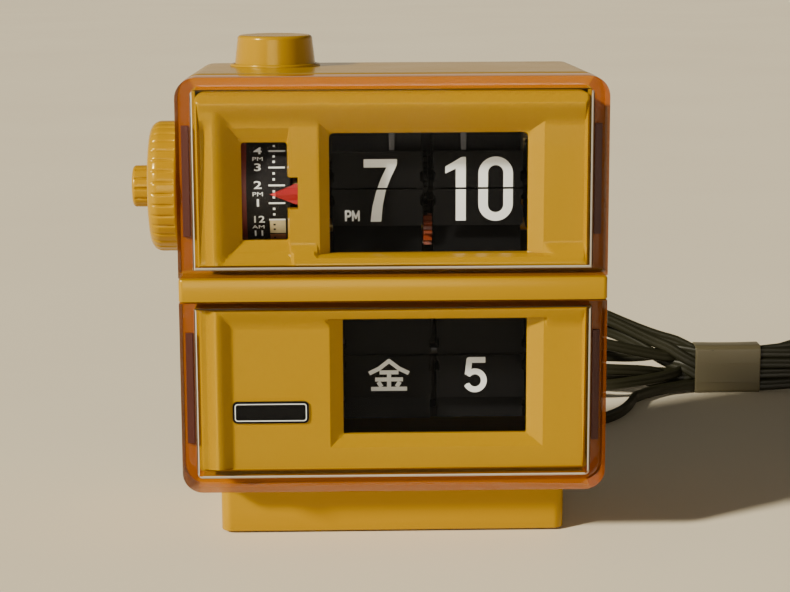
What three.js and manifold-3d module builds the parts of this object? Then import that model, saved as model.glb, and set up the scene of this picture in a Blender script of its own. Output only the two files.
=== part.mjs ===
// A flip number clock with an alarm and a calendar, on a foot, with its supply cord in a tied hank.
// Millimetres. X runs across the dial, Y from the front to the back, Z up from the table.
import * as THREE from "three";
import { mergeVertices } from "three/addons/utils/BufferGeometryUtils.js";
import Module from "manifold-3d";

const wasm = await Module();
wasm.setup();

// ---- Driving dimensions -------------------------------------------------------------------
const GAP = 0.3; // between neighbours that touch on the real clock
const HALF_WIDTH = 65; // of the case
const BODY_BASE = 20.4; // underside of the case above the table
const BODY_TOP = 147.7;
const CORNER = 6.3; // radius of the case's long edges
const WALL = 2.5;
const CASE_FRONT = 12.3; // where the clear covers end and the case begins
const CASE_BACK = 82;
const BACK_SCALE = 0.983; // the case narrows this much towards its back
const BAND = [80, 87]; // height of the bar between the two covers
const PANE = 2.2; // thickness of the clear covers
const COVER_BACK = 12;

const BEZEL_FRONT = 2.6;
const BEZEL_BACK = 13.6;
const FLOOR_FRONT = 7; // the sunk face of a bezel
const FLOOR_BACK = 8.6;
const BEZEL_HALF_WIDTH = 59.3;
const UPPER_BEZEL = [89.7, 142.8];
const LOWER_BEZEL = [25.8, 77.3];
const TIME_WINDOW = { x: [-19.2, 41.2], z: [93.6, 130.3] };
const DRUM_WINDOW = { x: [-45.8, -31.9], z: [97.7, 127.6] };
const POINTER_NOTCH = { x: [-32.5, -28.7], z: [107.5, 117.2] };
const CALENDAR_WINDOW = { x: [-15.5, 41.2], z: [36.8, 73.3] };
const PLAQUE = { x: [-49.6, -26.1], z: [41, 47.9] };

const AXIS = { y: 31, z: 111.7 }; // the time shaft, the alarm drum and both knobs turn about it
const SHAFT_RADIUS = 2.3;
const SLEEVE_BORE = 2.9;
const SLEEVE_RADIUS = 4;
const DRUM_RADIUS = 20.9;
const DRUM = [-46.5, -30.8];
const WHEEL_RADIUS = 20.4;
const WHEEL_OUTER = -75;
const WHEEL_RIBS = 48;
const KNOB_RADIUS = 6.5;
const KNOB_RIBS = 12;
const KNOB_END = -80.8;

const LEAF = 0.6; // thickness of a number leaf
const HOURS = { x: [-18.6, 9.6], hinge: [20, AXIS.z], reach: 11.6, spool: 9.5, centre: AXIS };
const MINUTES = { ...HOURS, x: [12.8, 40.7] };
const CALENDAR_AXIS = { y: 34, z: 58 };
const DAYS = { x: [-15.3, 12.5], hinge: [25.5, 58], reach: 14, spool: 7, centre: CALENDAR_AXIS };
const DATES = { ...DAYS, x: [14.1, 41.9] };
const CLIP_WIDTH = 2.1;
const CLIP_TOP = 137;

const PLATE = 1.3; // sheet metal of the movement
const LEFT_PLATE = -26.5;
const RIGHT_PLATE = 46.8;
const TRAIN = [42.6, 45.2]; // where the gears of the movement lie
const MODULE = 0.75; // of those gears
const WHEEL_TEETH = 36;
const PINION_TEETH = 12;
const TRAIN_ANGLE = 0.44; // from the time shaft to the intermediate gear, above level
const CARRY_MODULE = 0.85; // of the gears that carry from the minutes to the hours
const HOUR_TEETH = 24;
const CARRY_TEETH = 10;
const CARRY_ANGLE = -1.92;
const FINGER_REACH = 9.2; // of the minute spool's carrying finger

const BUTTON = { x: -37, y: 63.5, base: 13.15, top: 11.9 };
const BUTTON_TOP = 157;
const BUTTON_SKIRT = 143.4; // the lower edge of the button, inside the case
const COLLAR_RADIUS = 14.7;

const FOOT_HALF_WIDTH = 55;
const FOOT = [24.7, 76]; // front and back of the foot
const PAD_HEIGHT = 0.6;
const REAR_BACK = 94;
const REAR_HALF_WIDTH = 60.5;
const REAR_HEIGHTS = [25, 143];
const REAR_WALL = 2;
const FLANGE = { halfWidth: 63, z: [22.4, BODY_TOP - 2] }; // of the rear cover, on the case's back
const VENTS = { count: 6, halfWidth: 22, lowest: 100, height: 2, pitch: 5 };
const SCREW_RADIUS = 3;
const PUSHER_END = 98;
const PUSHER_RADIUS = 4;
const PUSHER_HEIGHT = 58;
const PUSHERS = [
  { name: "day_advance_button", x: -4 },
  { name: "date_advance_button", x: 24 },
];

// The cord: flat, two cores, lying on its edge.
const CORD = { width: 4.8, thickness: 2.5 };
const OUTLET = { x: 35, z: 31 };
const RELIEF_LENGTH = 24;
const TIE = { x: [129.5, 156.5], y: 221, halfDepth: 5.2, height: 20 };
const TIE_SKIN = 0.5;
const HANK = { x: [66, 221], leftHeight: 40, rightHeight: 30, halfDepth: 22 };
const PLUG = { length: 27, width: 17, height: 12 };

const clock = new THREE.Group();
// The origin lies on the table, midway between the knob and the right side and between front and back.
clock.position.set(-(KNOB_END + HALF_WIDTH) / 2, -PUSHER_END / 2, 0);

// ---- Materials ----------------------------------------------------------------------------
function plastic(color, roughness = 0.35) {
  return new THREE.MeshStandardMaterial({ color, roughness, metalness: 0 });
}
function metal(color, roughness = 0.4) {
  return new THREE.MeshStandardMaterial({ color, roughness, metalness: 1 });
}
const yellow = plastic(0xf2b705, 0.3);
const black = plastic(0x111214, 0.5);
const clear = new THREE.MeshStandardMaterial({
  color: 0xfff4e0,
  roughness: 0.05,
  metalness: 0,
  transparent: true,
  opacity: 0.35,
});
const red = plastic(0xc81e1e, 0.4);
const amber = plastic(0xc8501e, 0.45);
const rubber = plastic(0x1b1b1b, 0.9);
const cordGrey = plastic(0x3a3c2c, 0.6);
const tapeGrey = plastic(0x9a9480, 0.5);
const steel = metal(0xb8bcc0, 0.45);
const brass = metal(0xc9a24a, 0.35);

// ---- Solids -------------------------------------------------------------------------------
function solidOf(geometry) {
  geometry.deleteAttribute("normal");
  geometry.deleteAttribute("uv");
  const merged = mergeVertices(geometry, 1e-4);
  const vertProperties = merged.attributes.position.array;
  const triVerts = new Uint32Array(merged.index.array);
  return new wasm.Manifold(new wasm.Mesh({ numProp: 3, vertProperties, triVerts }));
}

function add(name, material, solid) {
  const { vertProperties, triVerts } = solid.getMesh();
  const geometry = new THREE.BufferGeometry();
  geometry.setAttribute("position", new THREE.BufferAttribute(vertProperties, 3));
  geometry.setIndex(new THREE.BufferAttribute(triVerts, 1));
  geometry.computeVertexNormals();
  const mesh = new THREE.Mesh(geometry, material);
  mesh.name = name;
  clock.add(mesh);
  return mesh;
}

function join(...solids) {
  return solids.reduce((whole, next) => whole.add(next));
}

function cut(solid, ...tools) {
  return tools.reduce((rest, tool) => rest.subtract(tool), solid);
}

function block(x, y, z) {
  const geometry = new THREE.BoxGeometry(x[1] - x[0], y[1] - y[0], z[1] - z[0]);
  geometry.translate((x[0] + x[1]) / 2, (y[0] + y[1]) / 2, (z[0] + z[1]) / 2);
  return solidOf(geometry);
}

// Six-sided solid between a rectangle at one depth and another rectangle at a second depth.
function funnel(front, yFront, back, yBack) {
  const geometry = new THREE.BoxGeometry(1, 1, 1);
  const at = geometry.attributes.position;
  for (let i = 0; i < at.count; i++) {
    const side = at.getY(i) < 0 ? front : back;
    at.setXYZ(
      i,
      side.x[at.getX(i) < 0 ? 0 : 1],
      at.getY(i) < 0 ? yFront : yBack,
      side.z[at.getZ(i) < 0 ? 0 : 1],
    );
  }
  return solidOf(geometry);
}

// A flat outline carried along one axis: its own axes become the two axes left over.
const ALONG = {
  x: [new THREE.Vector3(0, 1, 0), new THREE.Vector3(0, 0, 1), new THREE.Vector3(1, 0, 0)],
  y: [new THREE.Vector3(1, 0, 0), new THREE.Vector3(0, 0, 1), new THREE.Vector3(0, -1, 0)],
  z: [new THREE.Vector3(1, 0, 0), new THREE.Vector3(0, 1, 0), new THREE.Vector3(0, 0, 1)],
};
function extrude(shape, axis, [from, to], curveSegments = 6) {
  const depth = to - from;
  const geometry = new THREE.ExtrudeGeometry(shape, { depth, bevelEnabled: false, curveSegments });
  geometry.applyMatrix4(new THREE.Matrix4().makeBasis(...ALONG[axis]));
  const start = axis === "y" ? to : from;
  geometry.translate(axis === "x" ? start : 0, axis === "y" ? start : 0, axis === "z" ? start : 0);
  return solidOf(geometry);
}

function polygon(points) {
  return new THREE.Shape(points.map(([u, v]) => new THREE.Vector2(u, v)));
}

// A rectangle whose upper and lower corners have their own radii; 0 leaves a corner square.
function roundedRectangle(u, v, radiusBelow, radiusAbove = radiusBelow) {
  const shape = new THREE.Shape();
  const corners = [
    [u[1] - radiusBelow, v[0] + radiusBelow, radiusBelow, -Math.PI / 2],
    [u[1] - radiusAbove, v[1] - radiusAbove, radiusAbove, 0],
    [u[0] + radiusAbove, v[1] - radiusAbove, radiusAbove, Math.PI / 2],
    [u[0] + radiusBelow, v[0] + radiusBelow, radiusBelow, Math.PI],
  ];
  shape.moveTo(u[0] + radiusBelow, v[0]);
  for (const [cu, cv, radius, angle] of corners) {
    if (radius) shape.absarc(cu, cv, radius, angle, angle + Math.PI / 2, false);
    else shape.lineTo(cu, cv);
  }
  return shape;
}

function rod(radius, x, { y, z }, sides = 20) {
  const geometry = new THREE.CylinderGeometry(radius, radius, x[1] - x[0], sides);
  geometry.rotateZ(-Math.PI / 2);
  geometry.translate((x[0] + x[1]) / 2, y, z);
  return solidOf(geometry);
}

// A turned solid about a vertical line, from a profile of [radius, height] pairs.
function turned(profile, { x, y }, sides = 32) {
  const points = profile.map(([radius, height]) => new THREE.Vector2(radius, height));
  const geometry = new THREE.LatheGeometry(points, sides);
  geometry.rotateX(Math.PI / 2);
  geometry.translate(x, y, 0);
  return solidOf(geometry);
}

// A turned solid about the time shaft's line, from a profile of [radius, place across] pairs.
function turnedAcross(profile, { y, z }, sides = 32) {
  const points = profile.map(([radius, across]) => new THREE.Vector2(radius, across));
  const geometry = new THREE.LatheGeometry(points, sides);
  geometry.rotateZ(-Math.PI / 2);
  geometry.translate(0, y, z);
  return solidOf(geometry);
}

// The case tapers: everything behind its front edge shrinks about its middle with depth.
function tapered(solid) {
  const middle = (BODY_BASE + BODY_TOP) / 2;
  return solid.warp((point) => {
    const share = Math.max(0, point[1] - CASE_FRONT) / (CASE_BACK - CASE_FRONT);
    const scale = 1 - (1 - BACK_SCALE) * share;
    point[0] *= scale;
    point[2] = middle + (point[2] - middle) * scale;
  });
}

// ---- Gears --------------------------------------------------------------------------------
function gearOutline(teeth, module, phase) {
  const pitch = (teeth * module) / 2;
  const step = (2 * Math.PI) / teeth;
  const root = pitch - 1.1 * module;
  const tip = pitch + 0.8 * module;
  const tooth = [
    [root, -0.27],
    [tip, -0.12],
    [tip, 0.12],
    [root, 0.27],
  ];
  const points = [];
  for (let i = 0; i < teeth; i++) {
    for (const [radius, share] of tooth) {
      const angle = phase + (i + share) * step;
      points.push([radius * Math.cos(angle), radius * Math.sin(angle)]);
    }
  }
  return points;
}

function gear(teeth, module, phase, x, { y, z }) {
  const points = gearOutline(teeth, module, phase).map(([u, v]) => [u + y, v + z]);
  return extrude(polygon(points), "x", x);
}

function away({ y, z }, angle, distance) {
  return { y: y + distance * Math.cos(angle), z: z + distance * Math.sin(angle) };
}

// The phase of a gear that meshes with a driver whose phase is known, along the line at angle.
function meshedPhase(driverPhase, driverTeeth, teeth, angle) {
  const lead = ((angle - driverPhase) * driverTeeth) / teeth;
  return angle + Math.PI + Math.PI / teeth + lead;
}

// ---- Case ---------------------------------------------------------------------------------
function caseShell() {
  const z = [BODY_BASE, BODY_TOP];
  const outline = roundedRectangle([-HALF_WIDTH, HALF_WIDTH], z, CORNER);
  const inside = roundedRectangle(
    [WALL - HALF_WIDTH, HALF_WIDTH - WALL],
    [z[0] + WALL, z[1] - WALL],
    CORNER - WALL,
  );
  const shell = cut(
    tapered(extrude(outline, "y", [CASE_FRONT, CASE_BACK])),
    tapered(extrude(inside, "y", [CASE_FRONT + 2, CASE_BACK + 1])),
  );
  const opening = (heights) =>
    block(
      [-BEZEL_HALF_WIDTH - GAP, BEZEL_HALF_WIDTH + GAP],
      [CASE_FRONT - 1, CASE_FRONT + 3],
      [heights[0] - GAP, heights[1] + GAP],
    );
  const buttonHole = turned(
    [
      [0, BODY_TOP - 8],
      [COLLAR_RADIUS - 0.4, BODY_TOP - 8],
      [COLLAR_RADIUS - 0.4, BODY_TOP + 2],
      [0, BODY_TOP + 2],
    ],
    BUTTON,
  );
  const shaftHole = rod(SLEEVE_RADIUS + 0.5, [-HALF_WIDTH - 1, -HALF_WIDTH + 6], AXIS);
  return cut(shell, opening(UPPER_BEZEL), opening(LOWER_BEZEL), buttonHole, shaftHole);
}

// A clear cover: a front pane with a wall all round it.
function clearCover(z, radiusBelow, radiusAbove) {
  const outer = roundedRectangle([-HALF_WIDTH, HALF_WIDTH], z, radiusBelow, radiusAbove);
  const inner = roundedRectangle(
    [PANE - HALF_WIDTH, HALF_WIDTH - PANE],
    [z[0] + PANE, z[1] - PANE],
    Math.max(radiusBelow - PANE, 0),
    Math.max(radiusAbove - PANE, 0),
  );
  return cut(
    extrude(outer, "y", [0, COVER_BACK], 8),
    extrude(inner, "y", [PANE, COVER_BACK + 1], 8),
  );
}

// A bezel: a flat lip, slopes down to a sunk face, and walls that run back into the case.
function bezel(heights, windows) {
  const lip = 3.4;
  const slope = 6;
  const skin = 1.8;
  const x = [-BEZEL_HALF_WIDTH, BEZEL_HALF_WIDTH];
  const inset = (pair, by) => [pair[0] + by, pair[1] - by];
  const dish = funnel(
    { x: inset(x, lip), z: inset(heights, lip) },
    BEZEL_FRONT - 0.01,
    { x: inset(x, lip + slope), z: inset(heights, lip + slope) },
    FLOOR_FRONT,
  );
  const behind = block(
    inset(x, skin),
    [FLOOR_BACK, BEZEL_BACK + 1],
    inset(heights, skin),
  );
  const holes = windows.map((w) => block(w.x, [BEZEL_FRONT - 1, FLOOR_BACK + 1], w.z));
  return cut(block(x, [BEZEL_FRONT, BEZEL_BACK], heights), dish, behind, ...holes);
}

function rearCover() {
  const z = REAR_HEIGHTS;
  const outer = roundedRectangle([-REAR_HALF_WIDTH, REAR_HALF_WIDTH], z, 8);
  const inner = roundedRectangle(
    [REAR_WALL - REAR_HALF_WIDTH, REAR_HALF_WIDTH - REAR_WALL],
    [z[0] + REAR_WALL, z[1] - REAR_WALL],
    8 - REAR_WALL,
  );
  const vents = Array.from({ length: VENTS.count }, (_, i) => {
    const low = VENTS.lowest + i * VENTS.pitch;
    const across = [-VENTS.halfWidth, VENTS.halfWidth];
    return block(across, [REAR_BACK - 4, REAR_BACK + 1], [low, low + VENTS.height]);
  });
  const flange = roundedRectangle([-FLANGE.halfWidth, FLANGE.halfWidth], FLANGE.z, CORNER - 1);
  const pusherHoles = PUSHERS.map(({ x }) =>
    standing(PUSHER_RADIUS + 0.4, [REAR_BACK - 4, REAR_BACK + 1], x, PUSHER_HEIGHT),
  );
  return cut(
    join(
      extrude(outer, "y", [CASE_BACK + GAP, REAR_BACK]),
      extrude(flange, "y", [CASE_BACK + GAP, CASE_BACK + 2]),
    ),
    extrude(inner, "y", [CASE_BACK - 1, REAR_BACK - REAR_WALL]),
    ...vents,
    ...pusherHoles,
  );
}

function standing(radius, y, x, z, sides = 20) {
  const geometry = new THREE.CylinderGeometry(radius, radius, y[1] - y[0], sides);
  geometry.translate(x, (y[0] + y[1]) / 2, z);
  return solidOf(geometry);
}

function screw({ x, z }) {
  const head = standing(SCREW_RADIUS, [REAR_BACK + GAP, REAR_BACK + 1.6], x, z, 16);
  const across = [x - SCREW_RADIUS - 1, x + SCREW_RADIUS + 1];
  const slot = block(across, [REAR_BACK + 0.9, REAR_BACK + 3], [z - 0.4, z + 0.4]);
  return cut(head, slot);
}

function foot() {
  const x = [-FOOT_HALF_WIDTH, FOOT_HALF_WIDTH];
  const wall = 3;
  const outline = roundedRectangle(x, FOOT, 5);
  const hollow = block(
    [x[0] + wall, x[1] - wall],
    [FOOT[0] + wall, FOOT[1] - wall],
    [-1, BODY_BASE - wall - GAP],
  );
  const corner = 9; // solid corners carry the pads
  const post = (px, py) => block([px, px + corner], [py, py + corner], [PAD_HEIGHT, BODY_BASE - 1]);
  const posts = [x[0] + 1, x[1] - 1 - corner].flatMap((px) =>
    [FOOT[0] + 1, FOOT[1] - 1 - corner].map((py) => post(px, py)),
  );
  const shell = cut(extrude(outline, "z", [PAD_HEIGHT, BODY_BASE + 4]), hollow);
  const sockets = padPlaces().map(({ cx, cy }) => disc(4.3, [-1, 1.6], cx, cy));
  // The case above, whose underside rises towards its back.
  const above = tapered(block([-70, 70], [CASE_FRONT, CASE_BACK], [BODY_BASE - GAP, BODY_TOP]));
  return cut(join(shell, ...posts), ...sockets, above);
}

function padPlaces() {
  const inset = 6.5;
  return [FOOT_HALF_WIDTH - inset, inset - FOOT_HALF_WIDTH].flatMap((cx) =>
    [FOOT[0] + inset, FOOT[1] - inset].map((cy) => ({ cx, cy })),
  );
}

function disc(radius, z, x, y, sides = 16) {
  const geometry = new THREE.CylinderGeometry(radius, radius, z[1] - z[0], sides);
  geometry.rotateX(Math.PI / 2);
  geometry.translate(x, y, (z[0] + z[1]) / 2);
  return solidOf(geometry);
}

function addCase() {
  add("case_shell", yellow, caseShell());
  add("rear_cover", black, rearCover());
  add("upper_bezel", yellow, bezel(UPPER_BEZEL, [TIME_WINDOW, DRUM_WINDOW, POINTER_NOTCH]));
  add("lower_bezel", yellow, bezel(LOWER_BEZEL, [CALENDAR_WINDOW]));
  const band = roundedRectangle([-HALF_WIDTH, HALF_WIDTH], [0, COVER_BACK], 1, 0);
  add("middle_band", yellow, extrude(band, "z", BAND));
  add("upper_window_cover", clear, clearCover([BAND[1] + GAP, BODY_TOP], 0, CORNER));
  add("lower_window_cover", clear, clearCover([BODY_BASE, BAND[0] - GAP], CORNER, 0));
  add("foot_pedestal", yellow, foot());
  padPlaces().forEach(({ cx, cy }, i) => {
    add("foot_pad_" + (i + 1), rubber, disc(4, [0, 1.3], cx, cy));
  });
  const plaque = roundedRectangle(PLAQUE.x, PLAQUE.z, 1.5);
  add("front_plaque", black, extrude(plaque, "y", [FLOOR_FRONT - 1, FLOOR_FRONT - GAP]));
  const side = REAR_HALF_WIDTH - 8;
  add("rear_screw_upper", steel, screw({ x: -side, z: REAR_HEIGHTS[1] - 8 }));
  add("rear_screw_lower", steel, screw({ x: side, z: REAR_HEIGHTS[0] + 8 }));
}

// ---- Alarm --------------------------------------------------------------------------------
function ribbedOutline(radius, depth, ribs, { y, z }) {
  const points = [];
  for (let i = 0; i < 2 * ribs; i++) {
    const r = i % 2 ? radius - depth : radius;
    const angle = (i * Math.PI) / ribs;
    points.push([y + r * Math.cos(angle), z + r * Math.sin(angle)]);
  }
  return polygon(points);
}

function alarmWheel() {
  const inner = -HALF_WIDTH - 0.8;
  const outline = ribbedOutline(WHEEL_RADIUS, 0.6, WHEEL_RIBS, AXIS);
  const ribbed = extrude(outline, "x", [WHEEL_OUTER, inner]);
  const envelope = turnedAcross(
    [
      [0, WHEEL_OUTER],
      [WHEEL_RADIUS - 3, WHEEL_OUTER],
      [WHEEL_RADIUS, WHEEL_OUTER + 3],
      [WHEEL_RADIUS, inner - 1],
      [WHEEL_RADIUS - 1, inner],
      [0, inner],
    ],
    AXIS,
    48,
  );
  const bore = rod(SLEEVE_BORE, [WHEEL_OUTER - 1, inner + 1], AXIS);
  const socket = rod(SLEEVE_RADIUS + GAP, [inner - 4, inner + 1], AXIS);
  return cut(ribbed.intersect(envelope), bore, socket);
}

function alarmSleeve() {
  const x = [-HALF_WIDTH - 4.5, DRUM[1] + 1.5];
  return cut(rod(SLEEVE_RADIUS, x, AXIS), rod(SLEEVE_BORE, [x[0] - 1, x[1] + 1], AXIS));
}

// The hour drum: a rim on a web, open to the left.
function alarmDrum() {
  const web = 2;
  const hub = SLEEVE_RADIUS + GAP;
  return turnedAcross(
    [
      [hub, DRUM[0] + 3],
      [hub + 3, DRUM[0] + 3],
      [hub + 3, DRUM[1] - web],
      [DRUM_RADIUS - 1.5, DRUM[1] - web],
      [DRUM_RADIUS - 1.5, DRUM[0]],
      [DRUM_RADIUS, DRUM[0]],
      [DRUM_RADIUS, DRUM[1]],
      [hub, DRUM[1]],
      [hub, DRUM[0] + 3],
    ],
    AXIS,
    48,
  );
}

function addAlarm() {
  add("alarm_setting_wheel", yellow, alarmWheel());
  add("alarm_sleeve", brass, alarmSleeve());
  add("alarm_drum", black, alarmDrum());
  const pointer = polygon([
    [-37.3, AXIS.z - 0.1],
    [-29.6, AXIS.z - 3.2],
    [-24.4, AXIS.z - 3.2],
    [-24.4, AXIS.z + 3.1],
    [-29.6, AXIS.z + 3.1],
  ]);
  add("alarm_pointer", red, extrude(pointer, "y", [FLOOR_BACK + GAP, FLOOR_BACK + GAP + 0.7]));

  const skirt = 1.6;
  const stem = 3;
  const button = turned(
    [
      [0, 128.3],
      [stem, 128.3],
      [stem, BUTTON_TOP - 3],
      [BUTTON.base - skirt - 1, BUTTON_TOP - 3],
      [BUTTON.base - skirt, BUTTON_SKIRT],
      [BUTTON.base, BUTTON_SKIRT],
      [BUTTON.base, BODY_TOP - 0.7],
      [BUTTON.top + 0.15, BUTTON_TOP - 1.1],
      [BUTTON.top - 0.9, BUTTON_TOP],
      [0, BUTTON_TOP],
    ],
    BUTTON,
    40,
  );
  add("alarm_button", yellow, button);
  const collar = turned(
    [
      [BUTTON.base + 0.4, 0.5],
      [COLLAR_RADIUS - 0.8, 0.5],
      [COLLAR_RADIUS - 0.8, 3.4],
      [COLLAR_RADIUS, 3.4],
      [COLLAR_RADIUS, 4.1],
      [COLLAR_RADIUS - 0.3, 4.4],
      [BUTTON.base + 0.4, 4.4],
      [BUTTON.base + 0.4, 0.5],
    ],
    { x: 0, y: 0 },
    40,
  );
  const rim = add("button_collar", yellow, collar);
  rim.position.set(BUTTON.x, BUTTON.y, 143.85);
  rim.rotation.x = -Math.atan(((1 - BACK_SCALE) * (BODY_TOP - BODY_BASE)) / 2 / (CASE_BACK - CASE_FRONT));

  add("alarm_switch", black, block([-45, -29], [56, 71], [112, 122.6]));
  const reed = block([-57, -36], [60, 62], [107.8, 109.5]);
  const coil = block([-60, -34], [58, 76], [90, 108]);
  add("alarm_buzzer", black, join(coil, reed));
}

// ---- Number leaves ------------------------------------------------------------------------
function leafPlate({ x, hinge: [y, z], reach }, up) {
  const heights = up ? [z + GAP, z + reach] : [z - reach, z - GAP];
  return block(x, [y + GAP / 2, y + GAP / 2 + LEAF], heights);
}

// The leaves that wait behind the two on show, as one body: a ring round the spool, open in front.
function leafPack({ x, hinge: [y, z], reach, spool, centre }) {
  const outer = centre.y - y + reach - 0.3;
  const front = y + GAP / 2 + LEAF + GAP;
  const ring = cut(rod(outer, x, centre, 40), rod(spool + 0.5, [x[0] - 1, x[1] + 1], centre, 24));
  return cut(ring, block([x[0] - 1, x[1] + 1], [y - 40, front], [z - 60, z + 60]));
}

function spool({ x, spool: radius, centre }, bore, extra) {
  const inset = 0.4;
  const flange = 1.6;
  const [left, right] = [x[0] + inset, x[1] - inset];
  const hub = rod(bore + 2, [left, right], centre, 16);
  const discs = [
    rod(radius, [left, left + flange], centre, 32),
    rod(radius, [(left + right - flange) / 2, (left + right + flange) / 2], centre, 32),
    rod(radius, [right - flange, right], centre, 32),
  ];
  return cut(join(hub, ...discs, ...extra), rod(bore, [left - 20, right + 20], centre, 16));
}

const minutePhase = 0.1;
const intermediateCentre = away(AXIS, TRAIN_ANGLE, WHEEL_TEETH * MODULE);
const intermediatePhase = meshedPhase(minutePhase, WHEEL_TEETH, WHEEL_TEETH, TRAIN_ANGLE);
const MOTOR_ANGLE = -Math.PI / 2; // from the intermediate gear down to the motor
const motorCentre = away(
  intermediateCentre,
  MOTOR_ANGLE,
  ((WHEEL_TEETH + PINION_TEETH) * MODULE) / 2,
);
const motorPhase = meshedPhase(intermediatePhase, WHEEL_TEETH, PINION_TEETH, MOTOR_ANGLE);
const CARRY_X = [9.9, 12.5];
const carryCentre = away(AXIS, CARRY_ANGLE, ((HOUR_TEETH + CARRY_TEETH) * CARRY_MODULE) / 2);
const hourPhase = 0;
const carryPhase = meshedPhase(hourPhase, HOUR_TEETH, CARRY_TEETH, CARRY_ANGLE);

function minuteSpool() {
  const drive = gear(WHEEL_TEETH, MODULE, minutePhase, TRAIN, AXIS);
  const neck = rod(5, [MINUTES.x[1] - 1, TRAIN[0] + 1], AXIS, 16);
  // A finger on the left for the carry pinion, cut short of its teeth.
  const boss = rod(5, [CARRY_X[1] - 0.9, MINUTES.x[0] + 1], AXIS, 16);
  const finger = block(
    [CARRY_X[1] - 0.9, CARRY_X[1]],
    [AXIS.y - 0.7, AXIS.y + 0.7],
    [AXIS.z + 3, AXIS.z + FINGER_REACH],
  );
  return spool(MINUTES, SHAFT_RADIUS + GAP, [drive, neck, boss, finger]);
}

function hourSpool() {
  const ring = gear(HOUR_TEETH, CARRY_MODULE, hourPhase, [CARRY_X[0], CARRY_X[0] + 1.2], AXIS);
  const neck = rod(5, [HOURS.x[1] - 1, CARRY_X[0] + 0.5], AXIS, 16);
  const boss = rod(5, [-21.6, HOURS.x[0] + 1], AXIS, 16);
  const cam = rod(1, [-21.6, HOURS.x[0] + 1], away(AXIS, 0.8, 8), 10);
  const arm = block([-21.6, -20.4], [AXIS.y - 1, AXIS.y + 1], [AXIS.z - 1, AXIS.z + 9]);
  return spool(HOURS, SHAFT_RADIUS + 0.5, [ring, neck, boss, cam, arm]);
}

function addLeaves() {
  const displays = [
    ["hour", HOURS],
    ["minute", MINUTES],
    ["day", DAYS],
    ["date", DATES],
  ];
  for (const [name, display] of displays) {
    add(name + "_leaf_upper", black, leafPlate(display, true));
    add(name + "_leaf_lower", black, leafPlate(display, false));
    add(name + "_leaf_pack", black, leafPack(display));
  }
  add("hour_spool", black, hourSpool());
  add("minute_spool", black, minuteSpool());
  add("day_spool", black, spool(DAYS, SHAFT_RADIUS + GAP, []));
  add("date_spool", black, spool(DATES, SHAFT_RADIUS + GAP, []));
  add("carry_pinion", amber, gear(CARRY_TEETH, CARRY_MODULE, carryPhase, CARRY_X, carryCentre));
  const clipAcross = [
    ["leaf_clip_hours", 0],
    ["leaf_clip_minutes", 22.2],
  ];
  for (const [name, middle] of clipAcross) {
    const x = [middle - CLIP_WIDTH / 2, middle + CLIP_WIDTH / 2];
    const tongue = block(x, [19.6, 20.2], [HOURS.hinge[1] + HOURS.reach + 0.4, CLIP_TOP - 0.6]);
    const root = block(x, [19.6, 34], [CLIP_TOP - 1.2, CLIP_TOP]);
    add(name, steel, join(tongue, root));
  }
}

// ---- Movement -----------------------------------------------------------------------------
const PILLARS = [
  { name: "frame_pillar_top", y: 32, z: 139.5 },
  { name: "frame_pillar_bottom", y: 58, z: 95 },
];
const LEVER_PIVOT = { y: 52, z: 86 };

function sidePlate(x, outline, holes) {
  const solid = extrude(polygon(outline), "x", [x, x + PLATE]);
  return cut(solid, ...holes.map(([radius, place]) => rod(radius, [x - 1, x + PLATE + 1], place, 16)));
}

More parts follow.
